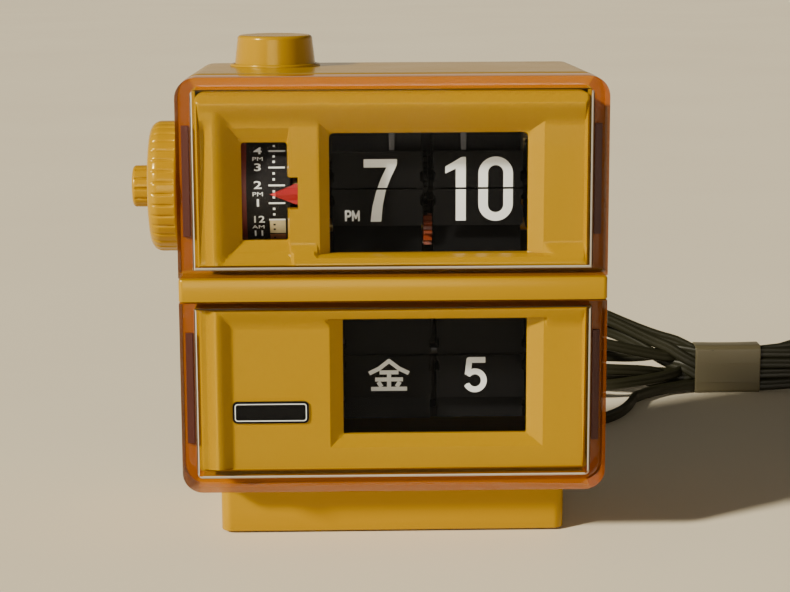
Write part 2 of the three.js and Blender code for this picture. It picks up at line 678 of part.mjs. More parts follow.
function addMovement() {
  const knobBody = extrude(
    ribbedOutline(KNOB_RADIUS, 0.5, KNOB_RIBS, AXIS),
    "x",
    [KNOB_END, WHEEL_OUTER - GAP],
  );
  const knobEnvelope = turnedAcross(
    [
      [0, KNOB_END],
      [KNOB_RADIUS - 1.5, KNOB_END],
      [KNOB_RADIUS, KNOB_END + 1.5],
      [KNOB_RADIUS, WHEEL_OUTER - GAP],
      [0, WHEEL_OUTER - GAP],
    ],
    AXIS,
    24,
  );
  const knobBore = rod(SHAFT_RADIUS + GAP, [KNOB_END + 2, WHEEL_OUTER + 1], AXIS, 16);
  add("time_knob", yellow, cut(knobBody.intersect(knobEnvelope), knobBore));
  add("time_shaft", steel, rod(SHAFT_RADIUS, [KNOB_END + 2.5, RIGHT_PLATE + 2.5], AXIS, 16));

  const left = [
    [18, 84],
    [64, 84],
    [64, 130],
    [44, 130],
    [44, 143],
    [24, 143],
    [18, 138],
  ];
  const right = [
    [18, 88],
    [74, 88],
    [74, 138],
    [44, 143],
    [24, 143],
    [18, 138],
  ];
  const pillarHoles = PILLARS.map((place) => [2.5, place]);
  const shaftHole = [SHAFT_RADIUS + 0.5, AXIS];
  add(
    "movement_plate_left",
    steel,
    sidePlate(LEFT_PLATE, left, [shaftHole, ...pillarHoles, [1.9, LEVER_PIVOT]]),
  );
  add(
    "movement_plate_right",
    steel,
    sidePlate(RIGHT_PLATE, right, [
      shaftHole,
      ...pillarHoles,
      [1.9, intermediateCentre],
      [2.4, motorCentre],
    ]),
  );
  for (const { name, ...place } of PILLARS) {
    add(name, brass, rod(2.2, [LEFT_PLATE, RIGHT_PLATE + PLATE], place, 16));
  }

  const motorFace = RIGHT_PLATE + PLATE + GAP;
  const can = rod(18, [motorFace, motorFace + 11.5], motorCentre, 32);
  const gearbox = block(
    [motorFace + 11, motorFace + 12.6],
    [motorCentre.y - 8, motorCentre.y + 8],
    [motorCentre.z - 8, motorCentre.z + 8],
  );
  add("synchronous_motor", steel, join(can, gearbox));
  const pinionShaft = rod(1.4, [TRAIN[0], motorFace - GAP], motorCentre, 12);
  add(
    "motor_pinion",
    brass,
    join(gear(PINION_TEETH, MODULE, motorPhase, TRAIN, motorCentre), pinionShaft),
  );
  const arbor = rod(1.4, [TRAIN[0], RIGHT_PLATE + PLATE], intermediateCentre, 12);
  add(
    "intermediate_gear",
    brass,
    join(gear(WHEEL_TEETH, MODULE, intermediatePhase, TRAIN, intermediateCentre), arbor),
  );
}

function addCalendar() {
  const sides = [-19.3, 44];
  const [back, low, high] = [67, 40, 76];
  const across = [sides[0], sides[1] + PLATE];
  const outer = block(across, [26, back + PLATE], [low, high]);
  const inner = block([sides[0] + PLATE, sides[1]], [25, back], [low - 1, high + 1]);
  const shaft = rod(2, across, CALENDAR_AXIS, 16);
  add("calendar_frame", steel, join(cut(outer, inner), shaft));

  const lever = polygon([
    [LEVER_PIVOT.y - 4, LEVER_PIVOT.z + 4],
    [39, 104],
    [41, 105.5],
    [LEVER_PIVOT.y + 1, LEVER_PIVOT.z + 5],
    [LEVER_PIVOT.y + 4, LEVER_PIVOT.z - 2],
    [42, 66],
    [38.5, 64],
    [LEVER_PIVOT.y - 4, LEVER_PIVOT.z - 3],
  ]);
  const pivot = rod(1.5, [LEFT_PLATE, -22.6], LEVER_PIVOT, 12);
  add("calendar_lever", steel, join(extrude(lever, "x", [-24.6, -23.1]), pivot));

  for (const { name, x } of PUSHERS) {
    const cap = standing(PUSHER_RADIUS, [REAR_BACK - 5, PUSHER_END], x, PUSHER_HEIGHT);
    const pin = standing(1.5, [71, REAR_BACK - 4], x, PUSHER_HEIGHT, 12);
    add(name, black, join(cap, pin));
  }
}

// ---- Cord ---------------------------------------------------------------------------------
// From the strain relief the cord drops to the table and runs back to the hank.
const LEAD = [
  [35, 118.6, 31],
  [35, 127, 30.4],
  [36, 134.5, 27],
  [38.5, 140, 21],
  [43, 144.5, 13.5],
  [50, 148, 7],
  [59, 150.5, 3.2],
  [68, 153.5, 2.6],
  [78, 158.5, 2.5],
  [87, 166, 2.5],
  [93.5, 175.5, 2.5],
  [98, 186, 2.5],
  [102.5, 200.1, 2.5],
];

function leadTube() {
  const half = [CORD.thickness / 2, CORD.width / 2];
  const section = new THREE.Shape();
  for (let i = 0; i < 8; i++) {
    const angle = ((i + 0.5) * Math.PI) / 4;
    const point = [half[0] * Math.cos(angle) * 1.08, half[1] * Math.sin(angle) * 1.08];
    if (i) section.lineTo(...point);
    else section.moveTo(...point);
  }
  const path = new THREE.CatmullRomCurve3(LEAD.map((p) => new THREE.Vector3(...p)));
  const geometry = new THREE.ExtrudeGeometry(section, {
    steps: 26,
    extrudePath: path,
    bevelEnabled: false,
  });
  return solidOf(geometry);
}

// The hank's outer shape: narrow under the tie, wider at both ends, rounded seen from above.
function hank() {
  const waist = [TIE.x[0] - 3, TIE.x[1] + 3];
  const waistTop = TIE.height - TIE_SKIN - GAP;
  const base = TIE_SKIN + GAP;
  const side = polygon([
    [HANK.x[0], base],
    [HANK.x[1], base],
    [HANK.x[1], HANK.rightHeight - 6],
    [HANK.x[1] - 10, HANK.rightHeight],
    [HANK.x[1] - 30, HANK.rightHeight - 2],
    [waist[1], waistTop],
    [waist[0], waistTop],
    [HANK.x[0] + 30, HANK.leftHeight - 6],
    [HANK.x[0] + 10, HANK.leftHeight],
    [HANK.x[0], HANK.leftHeight - 6],
  ]);
  const inner = TIE.halfDepth - TIE_SKIN - GAP;
  const plan = new THREE.Shape();
  const wide = HANK.halfDepth;
  const straight = 20;
  plan.moveTo(waist[0], TIE.y - inner);
  plan.lineTo(waist[1], TIE.y - inner);
  plan.lineTo(HANK.x[1] - wide - straight / 2, TIE.y - wide);
  plan.absarc(HANK.x[1] - wide, TIE.y, wide, -Math.PI / 2, Math.PI / 2, false);
  plan.lineTo(HANK.x[1] - wide - straight / 2, TIE.y + wide);
  plan.lineTo(waist[1], TIE.y + inner);
  plan.lineTo(waist[0], TIE.y + inner);
  plan.lineTo(HANK.x[0] + wide + straight / 2, TIE.y + wide);
  plan.absarc(HANK.x[0] + wide, TIE.y, wide, Math.PI / 2, (3 * Math.PI) / 2, false);
  plan.lineTo(HANK.x[0] + wide + straight / 2, TIE.y - wide);
  return extrude(plan, "z", [0, 60], 16).intersect(extrude(side, "y", [TIE.y - 40, TIE.y + 40]));
}

function addCord() {
  const relief = new THREE.LatheGeometry(
    [
      [0, 0],
      [5.5, 0],
      [5.5, 3],
      [4.4, 4],
      [3.2, RELIEF_LENGTH],
      [0, RELIEF_LENGTH],
    ].map(([radius, along]) => new THREE.Vector2(radius, along)),
    20,
  );
  relief.translate(OUTLET.x, REAR_BACK + GAP, OUTLET.z);
  add("strain_relief", rubber, solidOf(relief));
  add("power_cord", cordGrey, leadTube());
  add("cord_hank", cordGrey, hank());

  const y = [TIE.y - TIE.halfDepth, TIE.y + TIE.halfDepth];
  const inset = (pair, by) => [pair[0] + by, pair[1] - by];
  const tie = extrude(roundedRectangle(y, [0, TIE.height], 2), "x", TIE.x);
  const through = roundedRectangle(inset(y, TIE_SKIN), inset([0, TIE.height], TIE_SKIN), 0.5);
  add("cord_tie", tapeGrey, cut(tie, extrude(through, "x", [TIE.x[0] - 1, TIE.x[1] + 1])));

  const plugRight = HANK.x[0] - GAP;
  const body = [
    [plugRight, 3],
    [plugRight - 11, PLUG.width / 2 - 1.5],
    [plugRight - PLUG.length, PLUG.width / 2],
  ];
  const outline = [...body, ...body.map(([x, half]) => [x, -half]).reverse()];
  const shape = polygon(outline.map(([x, half]) => [x, TIE.y + half]).reverse());
  const blade = (across) =>
    block(
      [plugRight - PLUG.length - 17, plugRight - PLUG.length + 1],
      [TIE.y + across - 0.75, TIE.y + across + 0.75],
      [3, 9],
    );
  add("power_plug", black, join(extrude(shape, "z", [0, PLUG.height]), blade(-6.35), blade(6.35)));
}

addCase();
addAlarm();
addLeaves();
addMovement();
addCalendar();
addCord();

const root = new THREE.Group();
root.add(clock);
export default root;
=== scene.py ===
"""The looks of a yellow flip number clock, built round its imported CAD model."""

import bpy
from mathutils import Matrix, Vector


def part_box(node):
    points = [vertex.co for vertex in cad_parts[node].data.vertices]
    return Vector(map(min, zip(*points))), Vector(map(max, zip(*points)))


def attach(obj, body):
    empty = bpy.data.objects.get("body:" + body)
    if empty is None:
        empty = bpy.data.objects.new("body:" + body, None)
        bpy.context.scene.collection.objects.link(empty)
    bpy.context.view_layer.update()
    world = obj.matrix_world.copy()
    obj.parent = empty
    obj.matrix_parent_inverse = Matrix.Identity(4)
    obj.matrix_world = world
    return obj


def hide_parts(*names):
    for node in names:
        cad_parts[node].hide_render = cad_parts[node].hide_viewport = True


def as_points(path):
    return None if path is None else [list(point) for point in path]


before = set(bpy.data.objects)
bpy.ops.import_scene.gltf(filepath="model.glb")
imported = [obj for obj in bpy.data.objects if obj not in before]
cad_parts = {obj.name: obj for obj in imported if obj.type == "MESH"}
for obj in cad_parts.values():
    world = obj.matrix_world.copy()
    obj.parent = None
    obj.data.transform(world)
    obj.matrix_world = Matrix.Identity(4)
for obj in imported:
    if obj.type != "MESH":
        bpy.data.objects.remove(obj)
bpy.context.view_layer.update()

import math
import random

import bmesh
import bpy
import numpy as np
from mathutils import Matrix, Vector, geometry

random.seed(7)
TAU = 2 * math.pi
MM = 0.001

# ---- Places and sizes, in millimetres -------------------------------------------------------
# X runs from the case's middle, Y back from the front of the clear covers, Z up from the table.
band_low, band_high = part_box("middle_band")
ORIGIN = Vector(((band_low.x + band_high.x) / 2, band_low.y, 0))


def node_box(node):
    """A CAD node's box in the case's own millimetres, as ((x0, x1), (y0, y1), (z0, z1))."""
    low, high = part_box(node)
    low, high = (low - ORIGIN) / MM, (high - ORIGIN) / MM
    return [(low[i], high[i]) for i in range(3)]


HALF_WIDTH = 65
BODY_BASE, BODY_TOP = node_box("case_shell")[2]
BODY_MIDDLE = (BODY_BASE + BODY_TOP) / 2
CASE_FRONT, CASE_BACK = node_box("case_shell")[1]
BACK_SCALE = 0.983
CORNER = 6.3
BAND_LOW, BAND_HIGH = node_box("middle_band")[2]
AXIS_Y, AXIS_Z = 31, 111.7
FLOOR = 5.8  # depth of a bezel's sunk face
CREST = 2.6  # depth of the bead round a bezel
RECESS = 8.3  # depth of the windows' edges
AXIS = (0, AXIS_Y, AXIS_Z)  # of the time shaft, the drum, the wheel and the knob
DRUM_RADIUS = 20.9
BUTTON = (-37, 63.5, 0)  # the push button's axis

# ---- Making objects -------------------------------------------------------------------------
def link(name, data):
    obj = bpy.data.objects.new(name, data)
    bpy.context.scene.collection.objects.link(obj)
    return obj


def new_mesh(name, solid, merge):
    """A mesh with its faces outwards, from (verts, faces) in the case's millimetres."""
    verts, faces = solid
    mesh = bpy.data.meshes.new(name)
    mesh.from_pydata([Vector(v) * MM + ORIGIN for v in verts], [], faces)
    work = bmesh.new()
    work.from_mesh(mesh)
    if merge:
        bmesh.ops.remove_doubles(work, verts=work.verts, dist=1e-7)
    bmesh.ops.recalc_face_normals(work, faces=work.faces)
    work.to_mesh(mesh)
    work.free()
    return mesh


def make(
    name, solid, material, stands_for=(), crease=32, body="clock_body", parent=None
):
    """A piece from a (verts, faces) solid. Edges sharper than crease, in degrees, stay sharp."""
    mesh = new_mesh(name, solid, merge=True)
    obj = link(name, mesh)
    mesh.shade_smooth()
    mesh.set_sharp_from_angle(angle=math.radians(crease))
    materials = material if isinstance(material, list) else [material]
    for one in materials:
        mesh.materials.append(one)
    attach(obj, body)
    if stands_for:
        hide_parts(*([stands_for] if isinstance(stands_for, str) else stands_for))
    if parent:
        obj.parent = parent
    return obj


def bevel(obj, width, segments=3, angle=40):
    mod = obj.modifiers.new("bevel", "BEVEL")
    mod.width = width * MM
    mod.segments = segments
    mod.limit_method = "ANGLE"
    mod.angle_limit = math.radians(angle)
    mod.harden_normals = True
    return obj


def carve(obj, *cutters):
    """Cuts each (verts, faces) solid out of a piece."""
    for solid in cutters:
        cutter = link("cutter", new_mesh("cutter", solid, merge=False))
        mod = obj.modifiers.new("carve", "BOOLEAN")
        mod.operation = "DIFFERENCE"
        mod.solver = "EXACT"
        mod.object = cutter
        evaluated = obj.evaluated_get(bpy.context.evaluated_depsgraph_get())
        mesh = bpy.data.meshes.new_from_object(evaluated)
        obj.modifiers.clear()
        obj.data = mesh
        bpy.data.objects.remove(cutter)
    obj.data.set_sharp_from_angle(angle=math.radians(35))


def join(*solids):
    """Several (verts, faces) as one."""
    verts, faces = [], []
    for more_verts, more_faces in solids:
        start = len(verts)
        verts += [tuple(v) for v in more_verts]
        faces += [[i + start for i in f] for f in more_faces]
    return verts, faces


def loft(rings, cyclic=False):
    """A skin through rings that all have the same number of points."""
    count = len(rings[0])
    verts = [p for ring in rings for p in ring]
    faces = []
    spans = len(rings) if cyclic else len(rings) - 1
    for r in range(spans):
        a, b = r * count, (r + 1) % len(rings) * count
        for i in range(count):
            j = (i + 1) % count
            faces.append([a + i, a + j, b + j, b + i])
    if not cyclic:
        faces.append(list(range(count))[::-1])
        faces.append([len(verts) - count + i for i in range(count)])
    return verts, faces


def box_solid(x, y, z):
    corners = ((0, 0), (1, 0), (1, 1), (0, 1))
    return loft([[(x[a], y[b], z[k]) for a, b in corners] for k in (0, 1)])


def shrunk(span, by):
    return (span[0] + by, span[1] - by)


def rounded(x, z, radii, arc=8):
    """A rounded rectangle's outline, from its lower right corner round to its lower left one.
    radii are those of the lower and the upper corners."""
    below, above = radii
    corners = [
        (x[1] - below, z[0] + below, below, -0.25),
        (x[1] - above, z[1] - above, above, 0),
        (x[0] + above, z[1] - above, above, 0.25),
        (x[0] + below, z[0] + below, below, 0.5),
    ]
    points = []
    for cx, cz, radius, start in corners:
        for i in range(arc + 1):
            angle = TAU * (start + 0.25 * i / arc)
            points.append((cx + radius * math.cos(angle), cz + radius * math.sin(angle)))
    return points


def lathe(profile, origin, axis, segments=96, ribs=None, cyclic=False):
    """Turns (radius, along) pairs about an axis through origin. ribs(angle, along) is taken
    off the radius. Points of radius 0 close the ends; a cyclic profile is a ring instead."""
    across = {"X": (1, 2), "Y": (2, 0), "Z": (0, 1)}[axis]
    along = "XYZ".index(axis)
    rings = []
    for radius, height in profile:
        ring = []
        for i in range(segments):
            angle = TAU * i / segments
            r = max(radius, 1e-4)
            if ribs and radius > 0:
                r -= ribs(angle, height)
            point = list(origin)
            point[across[0]] += r * math.cos(angle)
            point[across[1]] += r * math.sin(angle)
            point[along] += height
            ring.append(tuple(point))
        rings.append(ring)
    return loft(rings, cyclic=cyclic)


def rod(radius, low, high):
    """The profile of a plain rod or hole."""
    return [(0, low), (radius, low), (radius, high), (0, high)]


def middle_of(node):
    """A node's middle in X and Z, as the origin of something turned about Y."""
    x, _, z = node_box(node)
    return (sum(x) / 2, 0, sum(z) / 2)


def arc_profile(centre, radius, start, end, steps=6):
    """Profile points on an arc; angles in degrees, 0 along the radius and 90 along the axis."""
    points = []
    for i in range(steps + 1):
        angle = math.radians(start + (end - start) * i / steps)
        points.append((centre[0] + radius * math.cos(angle), centre[1] + radius * math.sin(angle)))
    return points


def taper(point):
    """The case narrows towards its back."""
    x, y, z = point
    share = max(0, y - CASE_FRONT) / (CASE_BACK - CASE_FRONT)
    scale = 1 - (1 - BACK_SCALE) * share
    return (x * scale, y, BODY_MIDDLE + (z - BODY_MIDDLE) * scale)


# ---- The camera, at the photograph's angle --------------------------------------------------
CAMERA_PLACE = Vector((-5.3, -657.4, 193.1)) * MM
CAMERA_YAW, CAMERA_PITCH, CAMERA_ROLL = (math.radians(a) for a in (-1.283, 10.381, 0.234))
CAMERA_LENS = 93.2


def make_camera():
    data = bpy.data.cameras.new("camera")
    data.lens = CAMERA_LENS
    data.sensor_width = 36
    data.clip_start = 0.01
    camera = link("camera", data)
    turn = (
        Matrix.Rotation(CAMERA_YAW, 4, "Z")
        @ Matrix.Rotation(math.pi / 2 - CAMERA_PITCH, 4, "X")
        @ Matrix.Rotation(-CAMERA_ROLL, 4, "Z")
    )
    camera.matrix_world = Matrix.Translation(CAMERA_PLACE) @ turn
    bpy.context.scene.camera = camera


make_camera()


# ---- Materials ------------------------------------------------------------------------------
def new_material(name, color, roughness, metallic=0.0, **sockets):
    material = bpy.data.materials.new(name)
    material.use_nodes = True
    shader = material.node_tree.nodes["Principled BSDF"]
    shader.inputs["Base Color"].default_value = (*color, 1)
    shader.inputs["Roughness"].default_value = roughness
    shader.inputs["Metallic"].default_value = metallic
    for key, value in sockets.items():
        shader.inputs[key.replace("_", " ")].default_value = value
    return material, material.node_tree, shader


def coordinates(tree):
    return tree.nodes.new("ShaderNodeTexCoord").outputs["Object"]


def noise_node(tree, scale, detail=3.0, rough=0.55, stretch=None):
    """Noise in object space; scale is in cycles per metre."""
    node = tree.nodes.new("ShaderNodeTexNoise")
    node.inputs["Scale"].default_value = scale
    node.inputs["Detail"].default_value = detail
    node.inputs["Roughness"].default_value = rough
    source = coordinates(tree)
    if stretch:
        mapping = tree.nodes.new("ShaderNodeMapping")
        mapping.inputs["Scale"].default_value = stretch
        tree.links.new(source, mapping.inputs["Vector"])
        source = mapping.outputs["Vector"]
    tree.links.new(source, node.inputs["Vector"])
    return node.outputs["Fac"]


def ramp(tree, value, stops):
    """stops are (place, grey or colour) pairs."""
    node = tree.nodes.new("ShaderNodeValToRGB")
    elements = node.color_ramp.elements
    while len(elements) < len(stops):
        elements.new(0.5)
    for element, (place, color) in zip(elements, stops):
        element.position = place
        element.color = (*color, 1) if isinstance(color, tuple) else (color, color, color, 1)
    tree.links.new(value, node.inputs["Fac"])
    return node.outputs["Color"]


def bump(tree, shader, height, strength, distance):
    node = tree.nodes.new("ShaderNodeBump")
    node.inputs["Strength"].default_value = strength
    node.inputs["Distance"].default_value = distance * MM
    tree.links.new(height, node.inputs["Height"])
    tree.links.new(node.outputs["Normal"], shader.inputs["Normal"])
    return node


def moulded_plastic(name, color, roughness, variation, grain=2600, grain_depth=0.004, **sockets):
    """Moulded plastic: faint drifts of colour, a fine skin texture, and uneven gloss."""
    material, tree, shader = new_material(name, color, roughness, **sockets)
    dark = tuple(c * (1 - variation) for c in color)
    light = tuple(min(1, c * (1 + variation)) for c in color)
    drift = ramp(tree, noise_node(tree, 14, 2), [(0.3, dark), (0.7, light)])
    tree.links.new(drift, shader.inputs["Base Color"])
    low, high = roughness * 0.94, min(1, roughness * 1.08)
    gloss = ramp(tree, noise_node(tree, 40, 3, 0.5), [(0.35, low), (0.7, high)])
    tree.links.new(gloss, shader.inputs["Roughness"])
    bump(tree, shader, noise_node(tree, grain, 2), 0.5, grain_depth)
    return material


def tinted_clear(name, color, alpha, roughness=0.03, crinkled=False):
    """Clear plastic in thin walls, seen straight through, with a colour and its gloss; on the
    covers' walls and strip that colour is painted refraction of the yellow flange behind.
    """
    material, tree, shader = new_material(name, color, roughness, Alpha=alpha)
    if crinkled:
        bump(tree, shader, noise_node(tree, 900, 5, 0.7), 1.0, 0.25)
    else:
        bump(tree, shader, noise_node(tree, 60, 2), 0.05, 0.02)
    return material


def brushed_metal(name, color, roughness):
    material, tree, shader = new_material(name, color, roughness, metallic=1.0)
    streaks = noise_node(tree, 700, 3, 0.6, (1, 1, 14))
    gloss = ramp(tree, streaks, [(0.2, roughness * 0.6), (0.8, min(1, roughness * 1.6))])
    tree.links.new(gloss, shader.inputs["Roughness"])
    tones = ramp(tree, noise_node(tree, 120), [(0.2, tuple(c * 0.8 for c in color)), (0.8, color)])
    tree.links.new(tones, shader.inputs["Base Color"])
    bump(tree, shader, streaks, 0.3, 0.01)
    return material


YELLOW = moulded_plastic("yellow_abs", (0.335, 0.181, 0.0), 0.22, 0.015,
                         Specular_Tint=(1.0, 0.8, 0.3, 1))
BLACK = moulded_plastic("black_plastic", (0.022, 0.022, 0.024), 0.45, 0.25)
LEAF_BLACK = moulded_plastic("leaf_black", (0.0045, 0.0045, 0.005), 0.42, 0.3, 1800, 0.004,
                             Specular_IOR_Level=0.05)
DRUM_BLACK = moulded_plastic("drum_black", (0.007, 0.006, 0.007), 0.5, 0.4, 1500, 0.01,
                             Specular_IOR_Level=0.2)
# Dark red-brown band round the drum's left edge: painted shade and painted reflection of the
# bezel's yellow window wall.
DRUM_EDGE_PAINTED_SHADE = moulded_plastic("drum_edge_painted_shade", (0.16, 0.012, 0.008), 0.5, 0.2)
INK = moulded_plastic("white_ink", (0.84, 0.88, 0.90), 0.55, 0.05, 900, 0.003)
BEIGE_INK = moulded_plastic("beige_ink", (0.60, 0.50, 0.28), 0.6, 0.1)
BROWN_INK = moulded_plastic("brown_ink", (0.26, 0.09, 0.03), 0.6, 0.2)
RED = moulded_plastic("pointer_red", (0.30, 0.002, 0.005), 0.4, 0.08)
PALE_RED = moulded_plastic("pointer_tip", (0.66, 0.035, 0.04), 0.5, 0.05)
AMBER = moulded_plastic("carry_amber", (0.15, 0.022, 0.003), 0.4, 0.15)
RUBBER = moulded_plastic("rubber", (0.018, 0.018, 0.018), 0.8, 0.3, 1400, 0.02)
CORD = moulded_plastic("cord_pvc", (0.014, 0.0135, 0.006), 0.42, 0.3, 900, 0.015,
                       Specular_IOR_Level=0.3)
# Dark red-brown: painted shade of the case's inside where it shows through the flange's side slots.
SLOT_PAINTED_SHADE = moulded_plastic("slot_painted_shade", (0.06, 0.007, 0.001), 0.5, 0.1)
CLEAR = tinted_clear("clear_acrylic", (0.02, 0.02, 0.02), 0.03)
# The covers' walls are clear plastic: their amber and brown colours are painted refraction of the
# yellow flange seen through them, with painted shade on the side walls.
RIM_PAINTED_REFRACTION = tinted_clear("rim_painted_refraction", (0.37, 0.118, 0.0), 0.94)
SIDE_PAINTED_REFRACTION_SHADE = tinted_clear("side_wall_painted_refraction_shade", (0.235, 0.055, 0.001), 0.94)
# A pale line painted round the inside of each cover's pane: a painted glint of the clear wall
# reflecting the bezel's side.
PAINTED_GLINT = moulded_plastic("painted_glint_edge", (0.46, 0.43, 0.36), 0.3, 0.1)
# A thin dark line painted beside it: the painted shadow of the gap between the cover and the bezel.
PAINTED_GAP_SHADOW = moulded_plastic("painted_gap_shadow", (0.035, 0.018, 0.004), 0.4, 0.1)
STRIP_PAINTED_REFRACTION = tinted_clear("crinkled_edge_painted_refraction", (0.26, 0.085, 0.002), 0.8, 0.25, crinkled=True)
TIE_FILM = moulded_plastic("tie_film", (0.15, 0.127, 0.068), 0.35, 0.25, 300, 0.03,
                           Transmission_Weight=0.3)
STEEL = brushed_metal("steel", (0.55, 0.55, 0.56), 0.35)
BRASS = brushed_metal("brass", (0.66, 0.48, 0.22), 0.3)
# Near-black steel: on the movement's plates, shafts and frame inside the case it is painted shade;
# the leaf clips use it too.
SHADED_STEEL = brushed_metal("shaded_steel", (0.07, 0.07, 0.075), 0.45)


# ---- The cord -------------------------------------------------------------------------------
CORD_WIDTH, CORD_THICKNESS = 4.8, 2.5
CORD_SPACING = 2.4  # between the points of its route
LEAD = [
    (35, 118.6, 31), (35, 127, 30.4), (36, 134.5, 27), (38.5, 140, 21), (43, 144.5, 13.5),
    (50, 148, 7), (59, 150.5, 3.2), (68, 153.5, 2.6), (78, 158.5, 2.5), (87, 166, 2.5),
    (93.5, 175.5, 2.5), (98, 186, 2.5), (102.5, 200.1, 2.5),
]
TIE_X, TIE_BOX_Y, TIE_BOX_Z = node_box("cord_tie")
TIE_Y = sum(TIE_BOX_Y) / 2
TIE_MIDDLE = sum(TIE_X) / 2
HANK_X = node_box("cord_hank")[0]
PLUG_X, PLUG_Y, _ = node_box("power_plug")
# Where the runs lie inside the tie, as (column, row), in the order the cord follows.
SLOTS = [(-1, 0), (0, 0), (-1, 1), (1, 0), (-1, 2), (1, 1), (-1, 3), (1, 2), (0, 3), (0, 1)]
# Each loop's two ends where it turns, as (offset in Y, height).
LEFT_LOOPS = [((-9, 8), (15, 27)), ((-15, 12), (9, 34)), ((-17, 5), (16, 13)), ((-6, 24), (12, 37))]
RIGHT_LOOPS = [
    ((-17, 4), (13, 10)), ((-13, 9), (10, 22)), ((-16, 15), (8, 27)), ((-12, 21), (14, 28)),
    ((-7, 27), (17, 17)),
]
LANE_HEIGHT = 10  # of the runs where they part from the tie


def smooth_path(points, spacing):
    """Points at even steps along a Catmull-Rom curve."""
    points = np.array(points, float)
    padded = np.vstack([2 * points[0] - points[1], points, 2 * points[-1] - points[-2]])
    dense = []
    for i in range(1, len(padded) - 2):
        p0, p1, p2, p3 = padded[i - 1 : i + 3]
        for t in np.linspace(0, 1, 16, endpoint=False):
            linear, square, cube = p2 - p0, 2 * p0 - 5 * p1 + 4 * p2 - p3, 3 * p1 - p0 - 3 * p2 + p3
            dense.append(0.5 * (2 * p1 + linear * t + square * t**2 + cube * t**3))
    dense = np.array(dense + [padded[-2]])
    steps = np.linalg.norm(np.diff(dense, axis=0), axis=1)
    run = np.concatenate([[0], np.cumsum(steps)])
    places = np.linspace(0, run[-1], max(2, round(run[-1] / spacing) + 1))
    return np.column_stack([np.interp(places, run, dense[:, k]) for k in range(3)])


def slot_place(slot, x):
    column, row = slot
    return (x, TIE_Y + 2.9 * column, 3.1 + 4.45 * row)


def loop_points(side, ends, tie_edge):
    """From the tie out along one lane, round a half circle and back along the other lane."""
    (ya, za), (yb, zb) = ends
    radius = math.hypot(yb - ya, zb - za) / 2
    turn_x = HANK_X[1] - 3 - radius if side > 0 else HANK_X[0] + 3 + radius
    middle = ((ya + yb) / 2, (za + zb) / 2)
    arm = ((ya - yb) / 2, (za - zb) / 2)
    half_way = tie_edge + (turn_x - tie_edge) * 0.62

    def lane(y, z):
        return (half_way, TIE_Y + y * 0.66, LANE_HEIGHT + (z - LANE_HEIGHT) * 0.66)

    points = [lane(ya, za)]
    for i in range(7):
        angle = math.pi * i / 6
        swing = math.cos(angle)
        x = turn_x + side * radius * math.sin(angle)
        points.append((x, TIE_Y + middle[0] + arm[0] * swing, middle[1] + arm[1] * swing))
    return points + [lane(yb, zb)]


def hank_route():
    points = list(LEAD) + [(107, 206.5, 2.6), (115, 214, 2.8)]
    right_edge, left_edge = TIE_X[1] - 1, TIE_X[0] + 1
    lefts, rights = iter(LEFT_LOOPS), iter(RIGHT_LOOPS)
    for run, slot in enumerate(SLOTS):
        outward = run % 2 == 0
        near, far = (left_edge, right_edge) if outward else (right_edge, left_edge)
        points += [slot_place(slot, near), slot_place(slot, TIE_MIDDLE), slot_place(slot, far)]
        if run == len(SLOTS) - 1:
            break
        if outward:
            points += loop_points(1, next(rights), right_edge)
        else:
            points += loop_points(-1, next(lefts), left_edge)
    middle_y = sum(PLUG_Y) / 2
    points += [(108, middle_y - 1, 8), (88, middle_y, 7)]
    return points + [(PLUG_X[1] + 5, middle_y, 6), (PLUG_X[1] - 4, middle_y, 6)]


def settle(path):
    """Pushes strands apart where they would cut each other, and keeps them on the table."""
    flatten = np.array([1, 1, 0.58])  # strands stand on edge, so they stack further apart in Z
    gap = CORD_THICKNESS + 0.25
    points = path.copy()
    index = np.arange(len(points))
    far = np.abs(index[:, None] - index[None, :]) * CORD_SPACING > 9
    lead_length = np.linalg.norm(np.diff(smooth_path(LEAD, CORD_SPACING), axis=0), axis=1).sum()
    held = (points[:, 0] > TIE_X[0]) & (points[:, 0] < TIE_X[1])
    held &= np.abs(points[:, 1] - TIE_Y) < 6
    held |= index * CORD_SPACING < lead_length
    held[-4:] = True
    loose = (~held)[:, None]
    for _ in range(160):
        flat = points * flatten
        apart = flat[:, None] - flat[None, :]
        distance = np.linalg.norm(apart, axis=2)
        close = far & (distance < gap)
        push = np.where(close, (gap - distance) / np.maximum(distance, 1e-3), 0)
        points += loose * (push[:, :, None] * apart).sum(axis=1) * 0.35
        middle = (points[:-2] + points[2:]) / 2
        points[1:-1] += loose[1:-1] * (middle - points[1:-1]) * 0.12
        lowest = np.where(held, points[:, 2], CORD_WIDTH / 2 + 0.1)
        points[:, 2] = np.maximum(points[:, 2], lowest)
    return points


def cord_section():
    """Two round cores side by side: (across the width, through the thickness)."""
    steps = 7
    radius = CORD_THICKNESS / 2
    offset = CORD_WIDTH / 2 - radius
    points = []
    for sign, start in ((1, -0.36), (-1, 0.14)):
        for i in range(steps):
            angle = TAU * (start + 0.72 * i / (steps - 1))
            points.append((sign * offset + radius * math.cos(angle), radius * math.sin(angle)))
    return points


def sweep(path, section):
    """Carries a section along a path; its first direction stays as near upright as it can."""
    up, back = Vector((0, 0, 1)), Vector((0, 1, 0))
    rings = []
    for place, tangent in zip(path, np.gradient(path, axis=0)):
        ahead = Vector(tangent).normalized()
        wide = up - ahead * ahead.dot(up)
        if wide.length < 0.35:
            wide = up * 0.35 + (back - ahead * ahead.y) * 0.2
            wide -= ahead * ahead.dot(wide)
        wide.normalize()
        thin = ahead.cross(wide)
        rings.append([tuple(Vector(place) + wide * u + thin * v) for u, v in section])
    return loft(rings)


